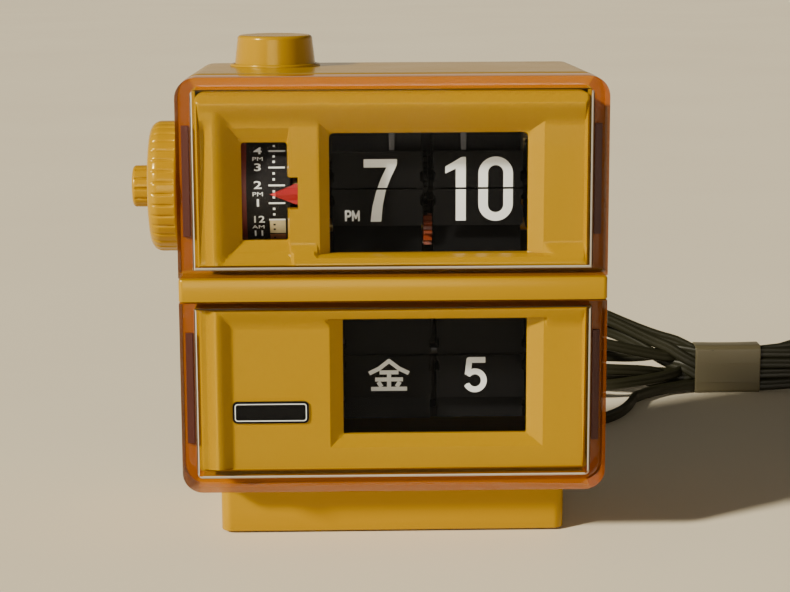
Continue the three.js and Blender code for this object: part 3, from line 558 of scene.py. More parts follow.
def make_cord():
    route = settle(smooth_path(hank_route(), CORD_SPACING))
    route = smooth_path(route, CORD_SPACING)
    verts, faces = sweep(route, cord_section())
    verts = [(x, y, max(z, 0.05)) for x, y, z in verts]  # it lies on the table
    cord = make("power_cord_and_hank", (verts, faces), CORD, ("power_cord", "cord_hank"), 60)
    path = [Vector(p) * MM + ORIGIN for p in route]
    return cord, path, path[0]


def make_strain_relief():
    y0, y1 = node_box("strain_relief")[1]
    profile = [(0, y0)] + arc_profile((4.9, y0 + 0.6), 0.6, -90, 0, 3)
    profile += arc_profile((4.9, y0 + 2.4), 0.6, 0, 90, 3)
    pitch, grooves = 2.6, 7
    for i in range(grooves):
        outer = 4.3 - 0.16 * i
        at = y0 + 4.2 + pitch * i
        profile += [(outer - 0.7, at - 0.5), (outer - 0.7, at)]
        profile += [(outer, at + 0.35), (outer, at + 1.6)]
    profile += arc_profile((2.6, y1 - 0.6), 0.6, 0, 90, 3) + [(0, y1)]
    boot = lathe(profile, middle_of("strain_relief"), "Y", 48)
    return make("strain_relief_boot", boot, RUBBER, "strain_relief")


def make_tie():
    """A band of film: two wraps with a lapped end."""
    (x0, x1), y, z = TIE_X, TIE_BOX_Y, TIE_BOX_Z
    film = 0.45
    middle_y, middle_z = sum(y) / 2, sum(z) / 2
    outer = rounded(y, z, (1.6, 2.2), 6)
    inner = rounded(shrunk(y, film), shrunk(z, film), (1.2, 1.8), 6)
    # Where the band is drawn in along its width, and by how much.
    stations = [(x0, 0.12), (x0 + 0.15, 0), (x0 + 1.2, 0), (x0 + 7, 0.12), (TIE_MIDDLE, 0.16),
                (x1 - 7, 0.12), (x1 - 1.2, 0), (x1 - 0.15, 0), (x1, 0.12)]

    def ring(outline, x, drawn_in):
        scale_y = 1 - drawn_in / (y[1] - y[0]) * 2
        scale_z = 1 - drawn_in / (z[1] - z[0]) * 2
        return [(x, middle_y + (u - middle_y) * scale_y, middle_z + (v - middle_z) * scale_z)
                for u, v in outline]

    rings = [ring(outer, *station) for station in stations]
    rings += [ring(inner, *station) for station in reversed(stations)]
    lap = box_solid(shrunk(TIE_X, 0.3), (y[0] - 0.12, y[0] + 0.3), (z[0] + 4.5, z[0] + 12.5))
    band = join(loft(rings, cyclic=True), lap)
    return bevel(make("cord_tie_band", band, TIE_FILM, "cord_tie", 50), 0.1, 2)


def make_plug():
    middle_y, middle_z = sum(PLUG_Y) / 2, 6
    back, front = PLUG_X[1], PLUG_X[0] + 17
    stations = [
        (back, 2.4, 2.0), (back - 2, 3.2, 2.8), (back - 7, 4.0, 3.6), (back - 10, 6.6, 5.0),
        (back - 13, 7.9, 5.7), (front + 3, 8.3, 5.9), (front + 1, 8.4, 5.9), (front, 7.8, 5.4),
    ]
    rings = []
    for x, half_y, half_z in stations:
        ring = []
        for i in range(40):
            c, s = math.cos(TAU * i / 40), math.sin(TAU * i / 40)
            bulge = (abs(c) ** 4 + abs(s) ** 4) ** -0.25
            ring.append((x, middle_y + half_y * c * bulge, middle_z + half_z * s * bulge))
        rings.append(ring)
    plug = make("plug_body", loft(rings), BLACK, "power_plug", 50)
    for sign, side in ((-1, "left"), (1, "right")):
        y = middle_y + sign * 6.35
        blade = box_solid((PLUG_X[0], front + 1), (y - 0.75, y + 0.75), (3, 9))
        bevel(make(f"plug_blade_{side}", blade, BRASS, parent=plug), 0.35)
    return plug


cord, cord_path, cord_exit = make_cord()
relief_piece, tie_piece, plug_piece = make_strain_relief(), make_tie(), make_plug()
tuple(cord_exit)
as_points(cord_path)


# ---- Bezels ---------------------------------------------------------------------------------
def slope(value, start, end):
    """0 before start, 1 after end, and smooth between them."""
    t = min(1, max(0, (value - start) / (end - start)))
    return t * t * (3 - 2 * t)


def ramped(value, start, end):
    """0 before start, 1 after end, straight between, with a small radius at both ends."""
    t = min(1.08, max(-0.08, (value - start) / (end - start)))
    if t < 0.08:
        return (t + 0.08) ** 2 / 0.32
    if t > 0.92:
        return 1 - (1.08 - t) ** 2 / 0.32
    return t


class Window:
    """A window in a bezel, with how wide its slanted edge is on each side."""

    def __init__(self, x, z, left, right, below, above, radii=(0.5, 1.2)):
        self.x, self.z, self.radii = x, z, radii
        self.widths = (left, right, below, above)

    def outline(self):
        return rounded(self.x, self.z, self.radii, 6)

    def depth(self, x, z):
        """How deep the slanted edge lies here; it runs on forwards without end."""
        away = (self.x[0] - x, x - self.x[1], self.z[0] - z, z - self.z[1])
        drop = RECESS - FLOOR
        return RECESS - max(max(0, a) * drop / w for a, w in zip(away, self.widths))


class UpperBezel:
    x, z = (-59.3, 59.3), (89.7, 142.8)
    radii = (0.6, 2.4)
    windows = [
        Window((-45.8, -31.9), (97.7, 127.6), 3.3, 0.7, 3.5, 4.6, (0.6, 0.9)),
        Window((-19.2, 41.2), (93.6, 130.3), 3.0, 4.6, 0.05, 3.4, (0.3, 1.5)),
    ]
    notch = ((-32.5, -28.7), (107.5, 117.2))
    lines_x = [-57.05, -56.8, -56.5, -54.55, -54.3, -54.05, -48.3]
    lines_z = [91.0, 94, 97.2, 132.4, 136, 139.4, 139.75, 140.1]

    @staticmethod
    def raised(x, z):
        left = CREST + 0.6 + (FLOOR - CREST - 0.6) * slope(x, -54.0, -47.6)
        top = CREST + (FLOOR - CREST) * slope(z, 139.8, 132.4)
        bottom = CREST + 0.4 + (FLOOR - CREST - 0.4) * slope(z, 90.6, 97.2)
        fade = 1 - slope(z, 131.0, 135.0)
        facet = max(2.1 * fade * (1 - ramped(x, -56.8, -54.3)), 2.5 * ramped(z, 139.7, 142.8))
        return min(left, top, bottom) + facet


class LowerBezel:
    x, z = (-59.3, 59.3), (25.8, 77.3)
    radii = (2.0, 0.6)
    windows = [Window((-15.5, 41.2), (36.8, 73.3), 4.1, 4.9, 3.8, 0.05, (0.4, 0.4))]
    notch = None
    lines_x = [-57.4, -57.1, -56.8, -54.45, -54.2, -53.9, -49.6]
    lines_z = [27, 70.2, 73.8, 76.5]

    @staticmethod
    def raised(x, z):
        left = CREST + 0.6 + (FLOOR - CREST - 0.6) * slope(x, -53.9, -49.0)
        top = CREST + 0.4 + (FLOOR - CREST - 0.4) * slope(z, 77.6, 70.2)
        facet = 2.1 * (1 - ramped(x, -57.1, -54.2))
        return min(left, top) + facet


def inside(x, z, outline):
    """Whether a point lies inside an outline of (x, z) points."""
    odd = False
    for (x0, z0), (x1, z1) in zip(outline, outline[1:] + outline[:1]):
        if (z0 > z) != (z1 > z) and x < (x1 - x0) * (z - z0) / (z1 - z0) + x0:
            odd = not odd
    return odd


def within(loops, x, z):
    return any(inside(x, z, loop) for loop in loops)


def add_loop(points, edges, loop):
    start, count = len(points), len(loop)
    points.extend(Vector(p) for p in loop)
    edges.extend((start + i, start + (i + 1) % count) for i in range(count))


def triangulate(points, edges, wanted):
    """Flat points and the triangles between them whose middles are wanted(x, z)."""
    flat, _, found, *_ = geometry.delaunay_2d_cdt(points, edges, [], 0, 1e-4)
    kept = []
    for tri in found:
        if wanted(sum(flat[i].x for i in tri) / 3, sum(flat[i].y for i in tri) / 3):
            kept.append(list(tri))
    return flat, kept


def rim_of(triangles):
    """The edges that only one triangle has."""
    count = {}
    for tri in triangles:
        for edge in zip(tri, tri[1:] + tri[:1]):
            key = tuple(sorted(edge))
            count[key] = count.get(key, 0) + 1
    return [edge for edge, uses in count.items() if uses == 1]


def notched(window, notch):
    """The drum window's outline with the pointer's notch let into its right side."""
    outline = window.outline()
    right = max(range(len(outline)), key=lambda i: (outline[i][0], -outline[i][1]))
    (_, n1), (z0, z1) = notch
    edge = window.x[1]
    notch_points = [(edge, z0), (n1, z0), (n1, z1), (edge, z1)]
    return outline[: right + 1] + notch_points + outline[right + 1 :]


def bezel_mesh(shape):
    """A front skin whose points carry the bezel's depth, with walls run back from every edge."""
    outer = rounded(shape.x, shape.z, shape.radii, 6)
    holes = [w.outline() for w in shape.windows]
    if shape.notch:
        holes[0] = notched(shape.windows[0], shape.notch)

    def from_edge(x, z):
        return min(x - shape.x[0], shape.x[1] - x, z - shape.z[0], shape.z[1] - z)

    def depth(x, z):
        deepest = max([shape.raised(x, z)] + [w.depth(x, z) for w in shape.windows])
        return deepest + 0.7 * (1 - slope(from_edge(x, z), -0.2, 0.8))

    points, edges = [], []
    for loop in [outer] + holes:
        add_loop(points, edges, loop)
    for inset in (0.25, 0.6):
        radii = [max(0.05, r - inset) for r in shape.radii]
        add_loop(points, edges, rounded(shrunk(shape.x, inset), shrunk(shape.z, inset), radii, 6))
    for window in shape.windows:
        (x0, x1), (z0, z1) = window.x, window.z
        left, right, below, above = window.widths
        corners = [(x0, z0, -left, -below), (x1, z0, right, -below), (x1, z1, right, above),
                   (x0, z1, -left, above)]
        add_loop(points, edges, [(x + dx, z + dz) for x, z, dx, dz in corners])
        for x, z, dx, dz in corners:
            points += [Vector((x + dx * share, z + dz * share)) for share in (0.35, 0.98)]
            edges.append((len(points) - 2, len(points) - 1))
    lines_x = np.concatenate([shape.lines_x, np.arange(-58, 59.2, 1.0)])
    lines_z = np.concatenate([shape.lines_z, np.arange(shape.z[0] + 1, shape.z[1], 1.0)])
    for x in sorted(set(np.round(lines_x, 3))):
        for z in sorted(set(np.round(lines_z, 3))):
            if from_edge(x, z) > 0.7:
                points.append(Vector((x, z)))
    flat, faces = triangulate(
        points, edges, lambda x, z: inside(x, z, outer) and not within(holes, x, z)
    )
    verts = [(p.x, depth(p.x, p.y), p.y) for p in flat]
    back_of = {}
    for a, b in rim_of(faces):
        for i in (a, b):
            if i not in back_of:
                back_of[i] = len(verts)
                x, _, z = verts[i]
                verts.append((x, 12.0 if from_edge(x, z) < 0.9 else RECESS + 1.3, z))
        faces.append([a, b, back_of[b], back_of[a]])
    return verts, faces


def make_bezels():
    for name, shape in (("upper_bezel", UpperBezel), ("lower_bezel", LowerBezel)):
        make(name + "_moulding", bezel_mesh(shape), YELLOW, name, 24)


# ---- Flat shapes ----------------------------------------------------------------------------
def inlay(solids, holes, front, back, heights=(-math.inf, math.inf)):
    """A plate over overlapping outlines of (x, z) points, less its holes, kept to a band of
    heights."""
    points, edges = [], []
    for loop in [*solids, *holes]:
        add_loop(points, edges, loop)
    low_x, high_x = min(p.x for p in points) - 1, max(p.x for p in points) + 1
    for height in heights:
        if math.isfinite(height):
            edges.append((len(points), len(points) + 1))
            points += [Vector((low_x, height)), Vector((high_x, height))]

    def wanted(x, z):
        return heights[0] < z < heights[1] and within(solids, x, z) and not within(holes, x, z)

    flat, kept = triangulate(points, edges, wanted)
    used = sorted({i for tri in kept for i in tri})
    place = {i: k for k, i in enumerate(used)}
    kept = [[place[i] for i in tri] for tri in kept]
    n = len(used)
    verts = [(flat[i].x, y, flat[i].y) for y in (front, back) for i in used]
    faces = kept + [[i + n for i in reversed(tri)] for tri in kept]
    return verts, faces + [[a, b, b + n, a + n] for a, b in rim_of(kept)]


def stroke(points, width):
    """Outlines that follow a line of points, with rounded joints."""
    loops = []
    half = width / 2
    for (x0, z0), (x1, z1) in zip(points, points[1:]):
        length = math.hypot(x1 - x0, z1 - z0)
        sx, sz = -(z1 - z0) / length * half, (x1 - x0) / length * half
        loops.append([(x0 + sx, z0 + sz), (x0 - sx, z0 - sz),
                      (x1 - sx, z1 - sz), (x1 + sx, z1 + sz)])
    for x, z in points[1:-1]:
        joint = [TAU * i / 12 + 0.1 for i in range(12)]
        loops.append([(x + half * math.cos(a), z + half * math.sin(a)) for a in joint])
    return loops


def arc(centre, radii, start, end, steps=20):
    angles = [math.radians(start + (end - start) * i / steps) for i in range(steps + 1)]
    (x, z), (wide, high) = centre, radii
    return [(x + wide * math.cos(a), z + high * math.sin(a)) for a in angles]


def stadium(x, z):
    return rounded(x, z, ((x[1] - x[0]) / 2 - 0.02,) * 2, 10)


# ---- Case -----------------------------------------------------------------------------------
def body_ring(y, inset, radius):
    x, z = shrunk((-HALF_WIDTH, HALF_WIDTH), inset), shrunk((BODY_BASE, BODY_TOP), inset)
    return [taper((u, y, v)) for u, v in rounded(x, z, (radius, radius), 10)]


def make_case():
    wall, rim = 2.5, 1.6
    rings = [body_ring(CASE_FRONT, wall, CORNER - wall)]
    rings += [body_ring(CASE_FRONT + y, inset, CORNER - inset)
              for y, inset in ((0, 0.5), (0.15, 0.15), (0.5, 0))]
    rings += [body_ring(CASE_FRONT + 0.5 + 11.3 * i, 0, CORNER) for i in range(1, 6)]
    for i in range(7):
        angle = TAU / 4 * i / 6
        inset = rim * (1 - math.cos(angle))
        rings.append(body_ring(CASE_BACK - rim + rim * math.sin(angle), inset, CORNER - inset))
    rings.append(body_ring(CASE_BACK, wall, CORNER - wall))
    case = make("case_body", loft(rings, cyclic=True), [YELLOW, SLOT_PAINTED_SHADE], "case_shell", 40)
    carve(case, lathe(rod(14.3, BODY_TOP - 9, BODY_TOP + 3), BUTTON, "Z", 64),
          lathe(rod(4.5, -HALF_WIDTH - 2, -HALF_WIDTH + 6), AXIS, "X", 40))

    # The flange behind the covers, with an opening for each bezel; dark boxes at its sides paint
    # the shade of the case's inside seen through slots there.
    outline = rounded((-62.4, 62.4), shrunk((BODY_BASE, BODY_TOP), 2.6), (3.6, 3.6), 8)
    openings = [rounded((-59.6, 59.6), shrunk(bezel.z, -0.3), (0.4, 0.4), 2)
                for bezel in (UpperBezel, LowerBezel)]
    plate = inlay([outline], openings, CASE_FRONT + 0.02, CASE_FRONT + 2)
    flange = make("case_flange", plate, YELLOW, crease=30)
    for sign, side in ((-1, "left"), (1, "right")):
        for z in ((98.5, 132.5), (33.5, 68.5)):
            x = (sign * 62.9 - 1.1, sign * 62.9 + 1.1)
            slot = box_solid(x, (CASE_FRONT - 1.3, CASE_FRONT - 0.5), z)
            piece = make(f"flange_slot_shade_{side}_{round(z[0])}", slot, SLOT_PAINTED_SHADE, parent=flange)
            bevel(piece, 0.1, 2)


# The covers' materials, and which of their faces have each.
COVER_MATERIALS = [CLEAR, RIM_PAINTED_REFRACTION, SIDE_PAINTED_REFRACTION_SHADE, STRIP_PAINTED_REFRACTION, PAINTED_GLINT, PAINTED_GAP_SHADOW]
RIM_FACE, SIDE_FACE, STRIP_FACE, GLINT_LINE, GAP_SHADOW_LINE = 1, 2, 3, 4, 5
PANE, FILLET = 2.0, 1.0


def make_cover(name, node, radii, wall_side, wall_below, wall_above):
    """A clear cover: a pane, thick side walls, and small radii where they meet."""
    x = (-HALF_WIDTH, HALF_WIDTH)
    _, (_, back), z = node_box(node)
    inner_x = shrunk(x, wall_side)
    inner_z = (z[0] + wall_below, z[1] - wall_above)
    inner_radii = [max(0.6, r - wall_side) for r in radii]

    def ring(y, inset):
        corners = [max(0.05, r - inset) for r in radii]
        return [(u, y, v) for u, v in rounded(shrunk(x, inset), shrunk(z, inset), corners, 10)]

    def inner_ring(y, inset):
        corners = [max(0.05, r - inset) for r in inner_radii]
        outline = rounded(shrunk(inner_x, inset), shrunk(inner_z, inset), corners, 10)
        return [(u, y, v) for u, v in outline]

    rings = [[(u, 0, v) for u, _, v in ring(0, 0.9)]]
    for i in (3, 2, 1, 0):
        angle = TAU / 4 * i / 4
        rings.append(ring(0.9 * (1 - math.sin(angle)), 0.9 * (1 - math.cos(angle))))
    rings += [ring(back - 0.3, 0), ring(back, 0.3)]
    rings += [inner_ring(back, -0.2), inner_ring(back - 0.3, 0)]
    for i in range(6):
        angle = TAU / 4 * i / 5
        depth = PANE + FILLET * (1 - math.sin(angle))
        rings.append(inner_ring(depth, FILLET * (1 - math.cos(angle))))
    cover = make(name, loft(rings), COVER_MATERIALS, node, 40)
    seam = name.startswith("upper")
    for face in cover.data.polygons:
        centre = (face.center - ORIGIN) / MM
        if len(face.vertices) != 4 or centre.y < 0.5:
            continue
        from_below, from_above = centre.z - inner_z[0], inner_z[1] - centre.z
        inset = min(inner_x[1] - abs(centre.x), from_below, from_above)
        # Faces just inside the pane's edge get the painted gap shadow line and the painted glint
        # line.
        if PANE < centre.y < PANE + FILLET and inset > 0:
            bottom = inset == from_below
            if 0.05 < inset < 0.32 and not bottom:
                face.material_index = GAP_SHADOW_LINE
            elif inset < (0.9 if bottom or centre.x > 0 else 0.6) and inset < from_above:
                face.material_index = GLINT_LINE
        # The side walls, the bottom strip and the top wall get the painted refraction colours.
        elif abs(centre.x) > inner_x[1] - 0.05:
            face.material_index = SIDE_FACE
        elif from_below < 0.05:
            face.material_index = STRIP_FACE if seam else RIM_FACE
        elif from_above < 0.05:
            face.material_index = RIM_FACE
    cover.visible_shadow = False  # light reaches the bezel through the clear plastic


def make_covers():
    make_cover("upper_clear_cover", "upper_window_cover", (0.3, CORNER), 4.4, 2.0, 3.7)
    make_cover("lower_clear_cover", "lower_window_cover", (CORNER, 0.3), 4.4, 3.9, 2.0)


def make_band():
    back = node_box("middle_band")[1][1]
    rings = []
    for z, inset in (
        (BAND_LOW, 0.5), (BAND_LOW + 0.15, 0.15), (BAND_LOW + 0.5, 0),
        (BAND_HIGH - 0.5, 0), (BAND_HIGH - 0.15, 0.15), (BAND_HIGH, 0.5),
    ):
        outline = rounded(shrunk((-HALF_WIDTH, HALF_WIDTH), inset), (inset, back), (1.4, 0.2), 6)
        rings.append([(u, v, z) for u, v in outline])
    make("middle_band_bar", loft(rings), YELLOW, "middle_band", 40)


def make_foot():
    x, y, (z0, _) = node_box("foot_pedestal")
    corner, wall = 3.5, 3

    def outline(inset, radius):
        return rounded(shrunk(x, inset), shrunk(y, inset), (radius, radius), 10)

    rings = [[(u, v, z) for u, v in outline(wall, 3)] for z in (16.8, z0)]
    for z, inset in ((z0, 0.5), (z0 + 0.15, 0.2), (z0 + 0.5, 0), (z0 + 7, 0), (z0 + 13, 0)):
        rings.append([(u, v, z) for u, v in outline(inset, corner - inset)])
    rings.append([(u, v, taper((0, v, BODY_BASE))[2] - 0.3) for u, v in outline(0, corner)])
    make("foot_body", loft(rings), YELLOW, "foot_pedestal", 40)
    for i in range(1, 5):
        node = f"foot_pad_{i}"
        px, py, pz = node_box(node)
        profile = [(0, pz[0])] + arc_profile((3.5, pz[0] + 0.4), 0.4, -90, 0, 4)
        profile += [(3.9, pz[1] - 0.1), (3.7, pz[1]), (0, pz[1])]
        pad = lathe(profile, (sum(px) / 2, sum(py) / 2, 0), "Z", 40)
        make(f"rubber_pad_{i}", pad, RUBBER, node, 50)


def make_rear():
    front, back = CASE_BACK + 0.3, 94

    def ring(y, inset, x=(-60.5, 60.5), z=(25, 143), radius=8):
        outline = rounded(shrunk(x, inset), shrunk(z, inset), (radius - inset, radius - inset), 10)
        return [(u, y, v) for u, v in outline]

    def flange_ring(y, inset):
        return ring(y, inset, (-63, 63), (22.4, BODY_TOP - 2), 5.3)

    # The first two rings are the hollow side, whose floor lies 2 mm under the back.
    rings = [ring(back - 2, 2.5), ring(front, 2.4), flange_ring(front, 0.4)]
    rings += [flange_ring(front + 0.4, 0), flange_ring(front + 1.3, 0)]
    rings += [flange_ring(front + 1.7, 0.4)]
    rings += [ring(front + 1.7, -0.1), ring(front + 2.2, 0)]
    for i in range(7):
        angle = TAU / 4 * i / 6
        rings.append(ring(back - 2 + 2 * math.sin(angle), 2 * (1 - math.cos(angle))))
    cover = make("rear_cover_shell", loft(rings), BLACK, "rear_cover", 40)
    screws = ("rear_screw_upper", "rear_screw_lower")
    cutters = [box_solid((-22, 22), (back - 4, back + 1), (z, z + 2)) for z in range(100, 130, 5)]
    hole = rod(4.6, back - 5, back + 1)
    cutters += [lathe(hole, (px, 0, 58), "Y", 40) for px in (-4, 24)]
    cutters += [lathe(rod(3.9, back - 0.9, back + 1), middle_of(node), "Y", 40) for node in screws]
    carve(cover, *cutters, lathe(hole, middle_of("strain_relief"), "Y", 40))
    bevel(cover, 0.25, 2, 50)
    # A black card behind the vents: painted shade of the case's inside, so no daylight shows
    # through them.
    card = box_solid((-26, 26), (back - 3.4, back - 3.0), (97, 130))
    bevel(make("vent_shade_card", card, RUBBER, parent=cover), 0.1, 2)
    for node in screws:
        middle, (y0, y1) = middle_of(node), node_box(node)[1]
        profile = [(0, y0 - 0.8), (2.7, y0 - 0.8)] + arc_profile((2.2, y1 - 0.8), 0.8, 0, 90, 5)
        head = make(node + "_head", lathe(profile + [(0, y1)], middle, "Y", 40), STEEL, node, 50)
        x, _, z = middle
        carve(head, box_solid((x - 4, x + 4), (y1 - 0.7, y1 + 1), (z - 0.4, z + 0.4)))
    for node, body in (("day_advance_button", "day_push"), ("date_advance_button", "date_push")):
        middle, (y0, y1) = middle_of(node), node_box(node)[1]
        profile = [(0, y1 - 9), (3.9, y1 - 9), (4, y1 - 8.8)]
        profile += arc_profile((3.4, y1 - 0.6), 0.6, 0, 90, 4)
        cap = lathe(profile + [(2.6, y1), (2.2, y1 - 0.3), (0, y1 - 0.45)], middle, "Y", 48)
        profile = [(0, y0), (1.4, y0), (1.5, y0 + 0.2), (1.5, y1 - 9), (0, y1 - 9)]
        pin = lathe(profile, middle, "Y", 24)
        make(node + "_cap", join(cap, pin), BLACK, node, 45, body)


# ---- Button, wheel and knob -----------------------------------------------------------------
def make_button():
    top = node_box("alarm_button")[2][1]
    skirt = top - 13.6
    profile = [(0, 128.3), (2.7, 128.3), (3, 128.6), (3, top - 3), (10.6, top - 3), (11.5, skirt)]
    profile += [(12.9, skirt), (13.15, skirt + 0.3), (13.15, BODY_TOP - 0.4)]
    profile += [(12.2, top - 1.4)] + arc_profile((11.0, top - 1.3), 1.2, 8, 78, 8)
    profile += [(10.2, top - 0.03), (8.5, top - 0.12), (4, top - 0.22), (0, top - 0.25)]
    button = lathe(profile, BUTTON, "Z", 128)
    make("alarm_push_button", button, YELLOW, "alarm_button", 40, "alarm_button_body")

    # The collar tilts with the top of the case.
    tilt = math.atan((1 - BACK_SCALE) * (BODY_TOP - BODY_BASE) / 2 / (CASE_BACK - CASE_FRONT))
    inner, outer = 13.5, 14.7
    profile = [(inner, -3), (inner, 0.3)] + arc_profile((inner + 0.3, 0.5), 0.3, 180, 90, 4)
    profile += arc_profile((outer - 0.4, 0.4), 0.4, 90, 0, 4)
    profile += [(outer, 0.05), (14.0, 0.05), (14.0, -3)]
    x, y, z = BUTTON[0], BUTTON[1], taper((0, BUTTON[1], BODY_TOP))[2]
    rings = []
    for radius, height in profile:
        ring = []
        for i in range(96):
            c, s = radius * math.cos(TAU * i / 96), radius * math.sin(TAU * i / 96)
            ring.append((x + c, y + s * math.cos(tilt) + height * math.sin(tilt),
                         z + height * math.cos(tilt) - s * math.sin(tilt)))
        rings.append(ring)
    make("button_collar_ring", loft(rings, cyclic=True), YELLOW, "button_collar", 40)


def make_wheel():
    x0, x1 = node_box("alarm_setting_wheel")[0]
    radius, ribs, depth = 20.4, 36, 0.45

    def notch(angle, x):
        if x >= x1 - 0.9:
            return 0
        return depth * (0.5 + 0.5 * math.cos(angle * ribs)) ** 9 * slope(x, x0 + 0.6, x0 + 2.4)

    profile = [(0, x0 + 0.5), (7.4, x0 + 0.5), (8.0, x0 + 0.2), (8.6, x0)]
    profile += [(14.5, x0 + 0.05)] + arc_profile((radius - 3.6, x0 + 3.6), 3.6, -90, 0, 12)
    profile += [(radius, x0 + 5), (radius, x1 - 1.2)]
    profile += arc_profile((radius - 0.8, x1 - 0.8), 0.8, 0, 90, 4)
    profile += [(18.6, x1), (18.2, x1 - 0.6), (17.8, x1 - 3.5), (9, x1 - 4), (4.4, x1 - 4)]
    profile += [(4.4, x1 - 1), (2.9, x1 - 1), (0, x1 - 1)]
    verts, faces = lathe(profile, AXIS, "X", ribs * 16, notch)
    # Ribs belong to the rim only: points nearer the axis than the rim stay round.
    fixed = []
    for x, y, z in verts:
        dy, dz = y - AXIS_Y, z - AXIS_Z
        r = math.hypot(dy, dz)
        if 0.01 < r < 16.2:
            near = [p for p, along in profile if abs(along - x) < 0.02 and p > 0]
            share = min(near, key=lambda p: abs(p - r)) / r
            dy, dz = dy * share, dz * share
        fixed.append((x, AXIS_Y + dy, AXIS_Z + dz))
    make("alarm_wheel", (fixed, faces), YELLOW, "alarm_setting_wheel", 38, "alarm_setting")

    k0, k1 = node_box("time_knob")[0]
    ribs, radius = 12, 6.5

    def knob_notch(angle, x):
        return 0.5 * (0.5 + 0.5 * math.cos(angle * ribs)) ** 8 * slope(x, k0 + 0.5, k0 + 1.6)

    profile = [(0, k0 + 0.35), (3.2, k0 + 0.3), (3.8, k0)]
    profile += arc_profile((radius - 1.1, k0 + 1.1), 1.1, -80, 0, 8)
    profile += [(radius, k0 + 2), (radius, k1 - 0.3), (radius - 0.3, k1), (0, k1)]
    knob = lathe(profile, AXIS, "X", ribs * 24, knob_notch)
    make("time_setting_knob", knob, YELLOW, "time_knob", 38, "time_setting")


# ---- Numbers on the leaves ------------------------------------------------------------------
def letters_pm():
    """PM at the foot of the hour leaf."""
    z, size = 101.65, 3.1

    def line(x, shape, width):
        return stroke([(x + across * size, z + up * size) for across, up in shape], width)

    p = ((0, 0), (0, 1), (0.32, 1), (0.46, 0.86), (0.46, 0.62), (0.32, 0.48), (0, 0.48))
    m = ((0, 0), (0, 1), (0.3, 0.3), (0.6, 1), (0.6, 0))
    return [*line(-14.25, p, 0.62), *line(-12.1, m, 0.56)]


def hour_number():
    seven = [(-8.64, 120.9), (1.62, 120.9), (1.62, 119.2), (-0.4, 114.9), (-1.9, 111.0),
             (-2.8, 106.6), (-3.3, 101.45), (-6.6, 101.45), (-6.0, 106.2), (-4.8, 110.9),
             (-3.3, 114.9), (-1.6, 118.35), (-8.64, 118.35)]
    return [seven, *letters_pm()], []


def next_hour_number():
    upper, lower = ((-8.1, 1.1), (111.6, 121.2)), ((-8.6, 1.6), (101.3, 112.6))
    holes = [stadium((-5.6, -1.4), (114.0, 118.7)), stadium((-5.9, -1.1), (104.0, 110.0))]
    solids = [rounded(*upper, (4.3, 4.3)), rounded(*lower, (4.9, 4.9))]
    return [*solids, *letters_pm()], holes


def one(x):
    return [[(x, 121.42), (x, 101.6), (x - 3.1, 101.6), (x - 3.1, 117.85), (x - 6.35, 116.35),
             (x - 6.35, 118.45), (x - 1.35, 121.42)]]


def minute_number():
    zero, hole = stadium((26.85, 37.55), (101.45, 121.5)), stadium((29.8, 34.6), (104.15, 118.85))
    return [*one(22.95), zero], [hole]


def next_minute_number():
    return [*one(22.95), *one(34.6)], []


def strokes(lines, width):
    return [loop for line in lines for loop in stroke(line, width)]


def day_number():
    lines = [
        [(-7.3, 52.0), (-4.2, 53.5), (-1.0, 56.0), (2.2, 53.5), (5.3, 52.0)],
        [(-4.0, 52.3), (2.0, 52.3)],
        [(-5.4, 50.0), (3.4, 50.0)],
        [(-1.0, 52.3), (-1.0, 47.2)],
        [(-4.4, 49.2), (-3.4, 47.6)],
        [(2.4, 49.2), (1.4, 47.6)],
        [(-6.7, 46.95), (4.7, 46.95)],
    ]
    return strokes(lines, 1.3), []


def next_day_number():
    lines = [[(-5.2, 52.6), (3.2, 52.6)], [(-1, 56.6), (-1, 46.6)], [(-7, 46.6), (5, 46.6)]]
    return strokes(lines, 1.3), []


def date_number():
    bowl = arc((26.3, 49.45), (2.85, 2.95), 130, -155)
    lines = [[(29.6, 56.1), (24.5, 56.1), (24.0, 51.3)], [(24.0, 51.3), *bowl]]
    return strokes(lines, 1.85), []


def next_date_number():
    ring, hole = (
        [(26.95 + r * math.cos(TAU * i / 32), 49.4 + r * math.sin(TAU * i / 32)) for i in range(32)]
        for r in (3.8, 2.4)
    )
    tail = stroke([(29.2, 56.6), (26.2, 54.6), (24.4, 52.2), (23.85, 49.8)], 1.45)
    return [ring, *tail], [hole]


INK_DEPTH = 0.05
# Per display: its number, the following one, and its leaves' hinge height and reach.
DISPLAYS = {
    "hour": (hour_number, next_hour_number, 111.7, 11.6),
    "minute": (minute_number, next_minute_number, 111.7, 11.6),
    "day": (day_number, next_day_number, 58, 14),
    "date": (date_number, next_date_number, 58, 14),
}


def leaf_outline(x, z, hinge):
    """A leaf with notches in its sides near the hinge, where it hangs between the discs."""
    up = z[1] > hinge
    near, far = z if up else (z[1], z[0])
    away = 1 if up else -1
    notch, reach, corner = 0.9, 5.2, 0.6
    right = [(x[1], near), (x[1], near + away * 1.6), (x[1] - notch, near + away * 2.1),
             (x[1] - notch, near + away * (reach - 0.5)), (x[1], near + away * reach),
             (x[1], far - away * corner), (x[1] - corner, far)]
    return right + [(x[0] + x[1] - u, v) for u, v in reversed(right)]


def mirrored(number, hinge):
    return [[[(x, 2 * hinge - z) for x, z in loop] for loop in loops] for loops in number]


def crosses(number, heights):
    """Whether any of a number's points lie in a band of heights."""
    return any(heights[0] < z < heights[1] for loop in number[0] for _, z in loop)


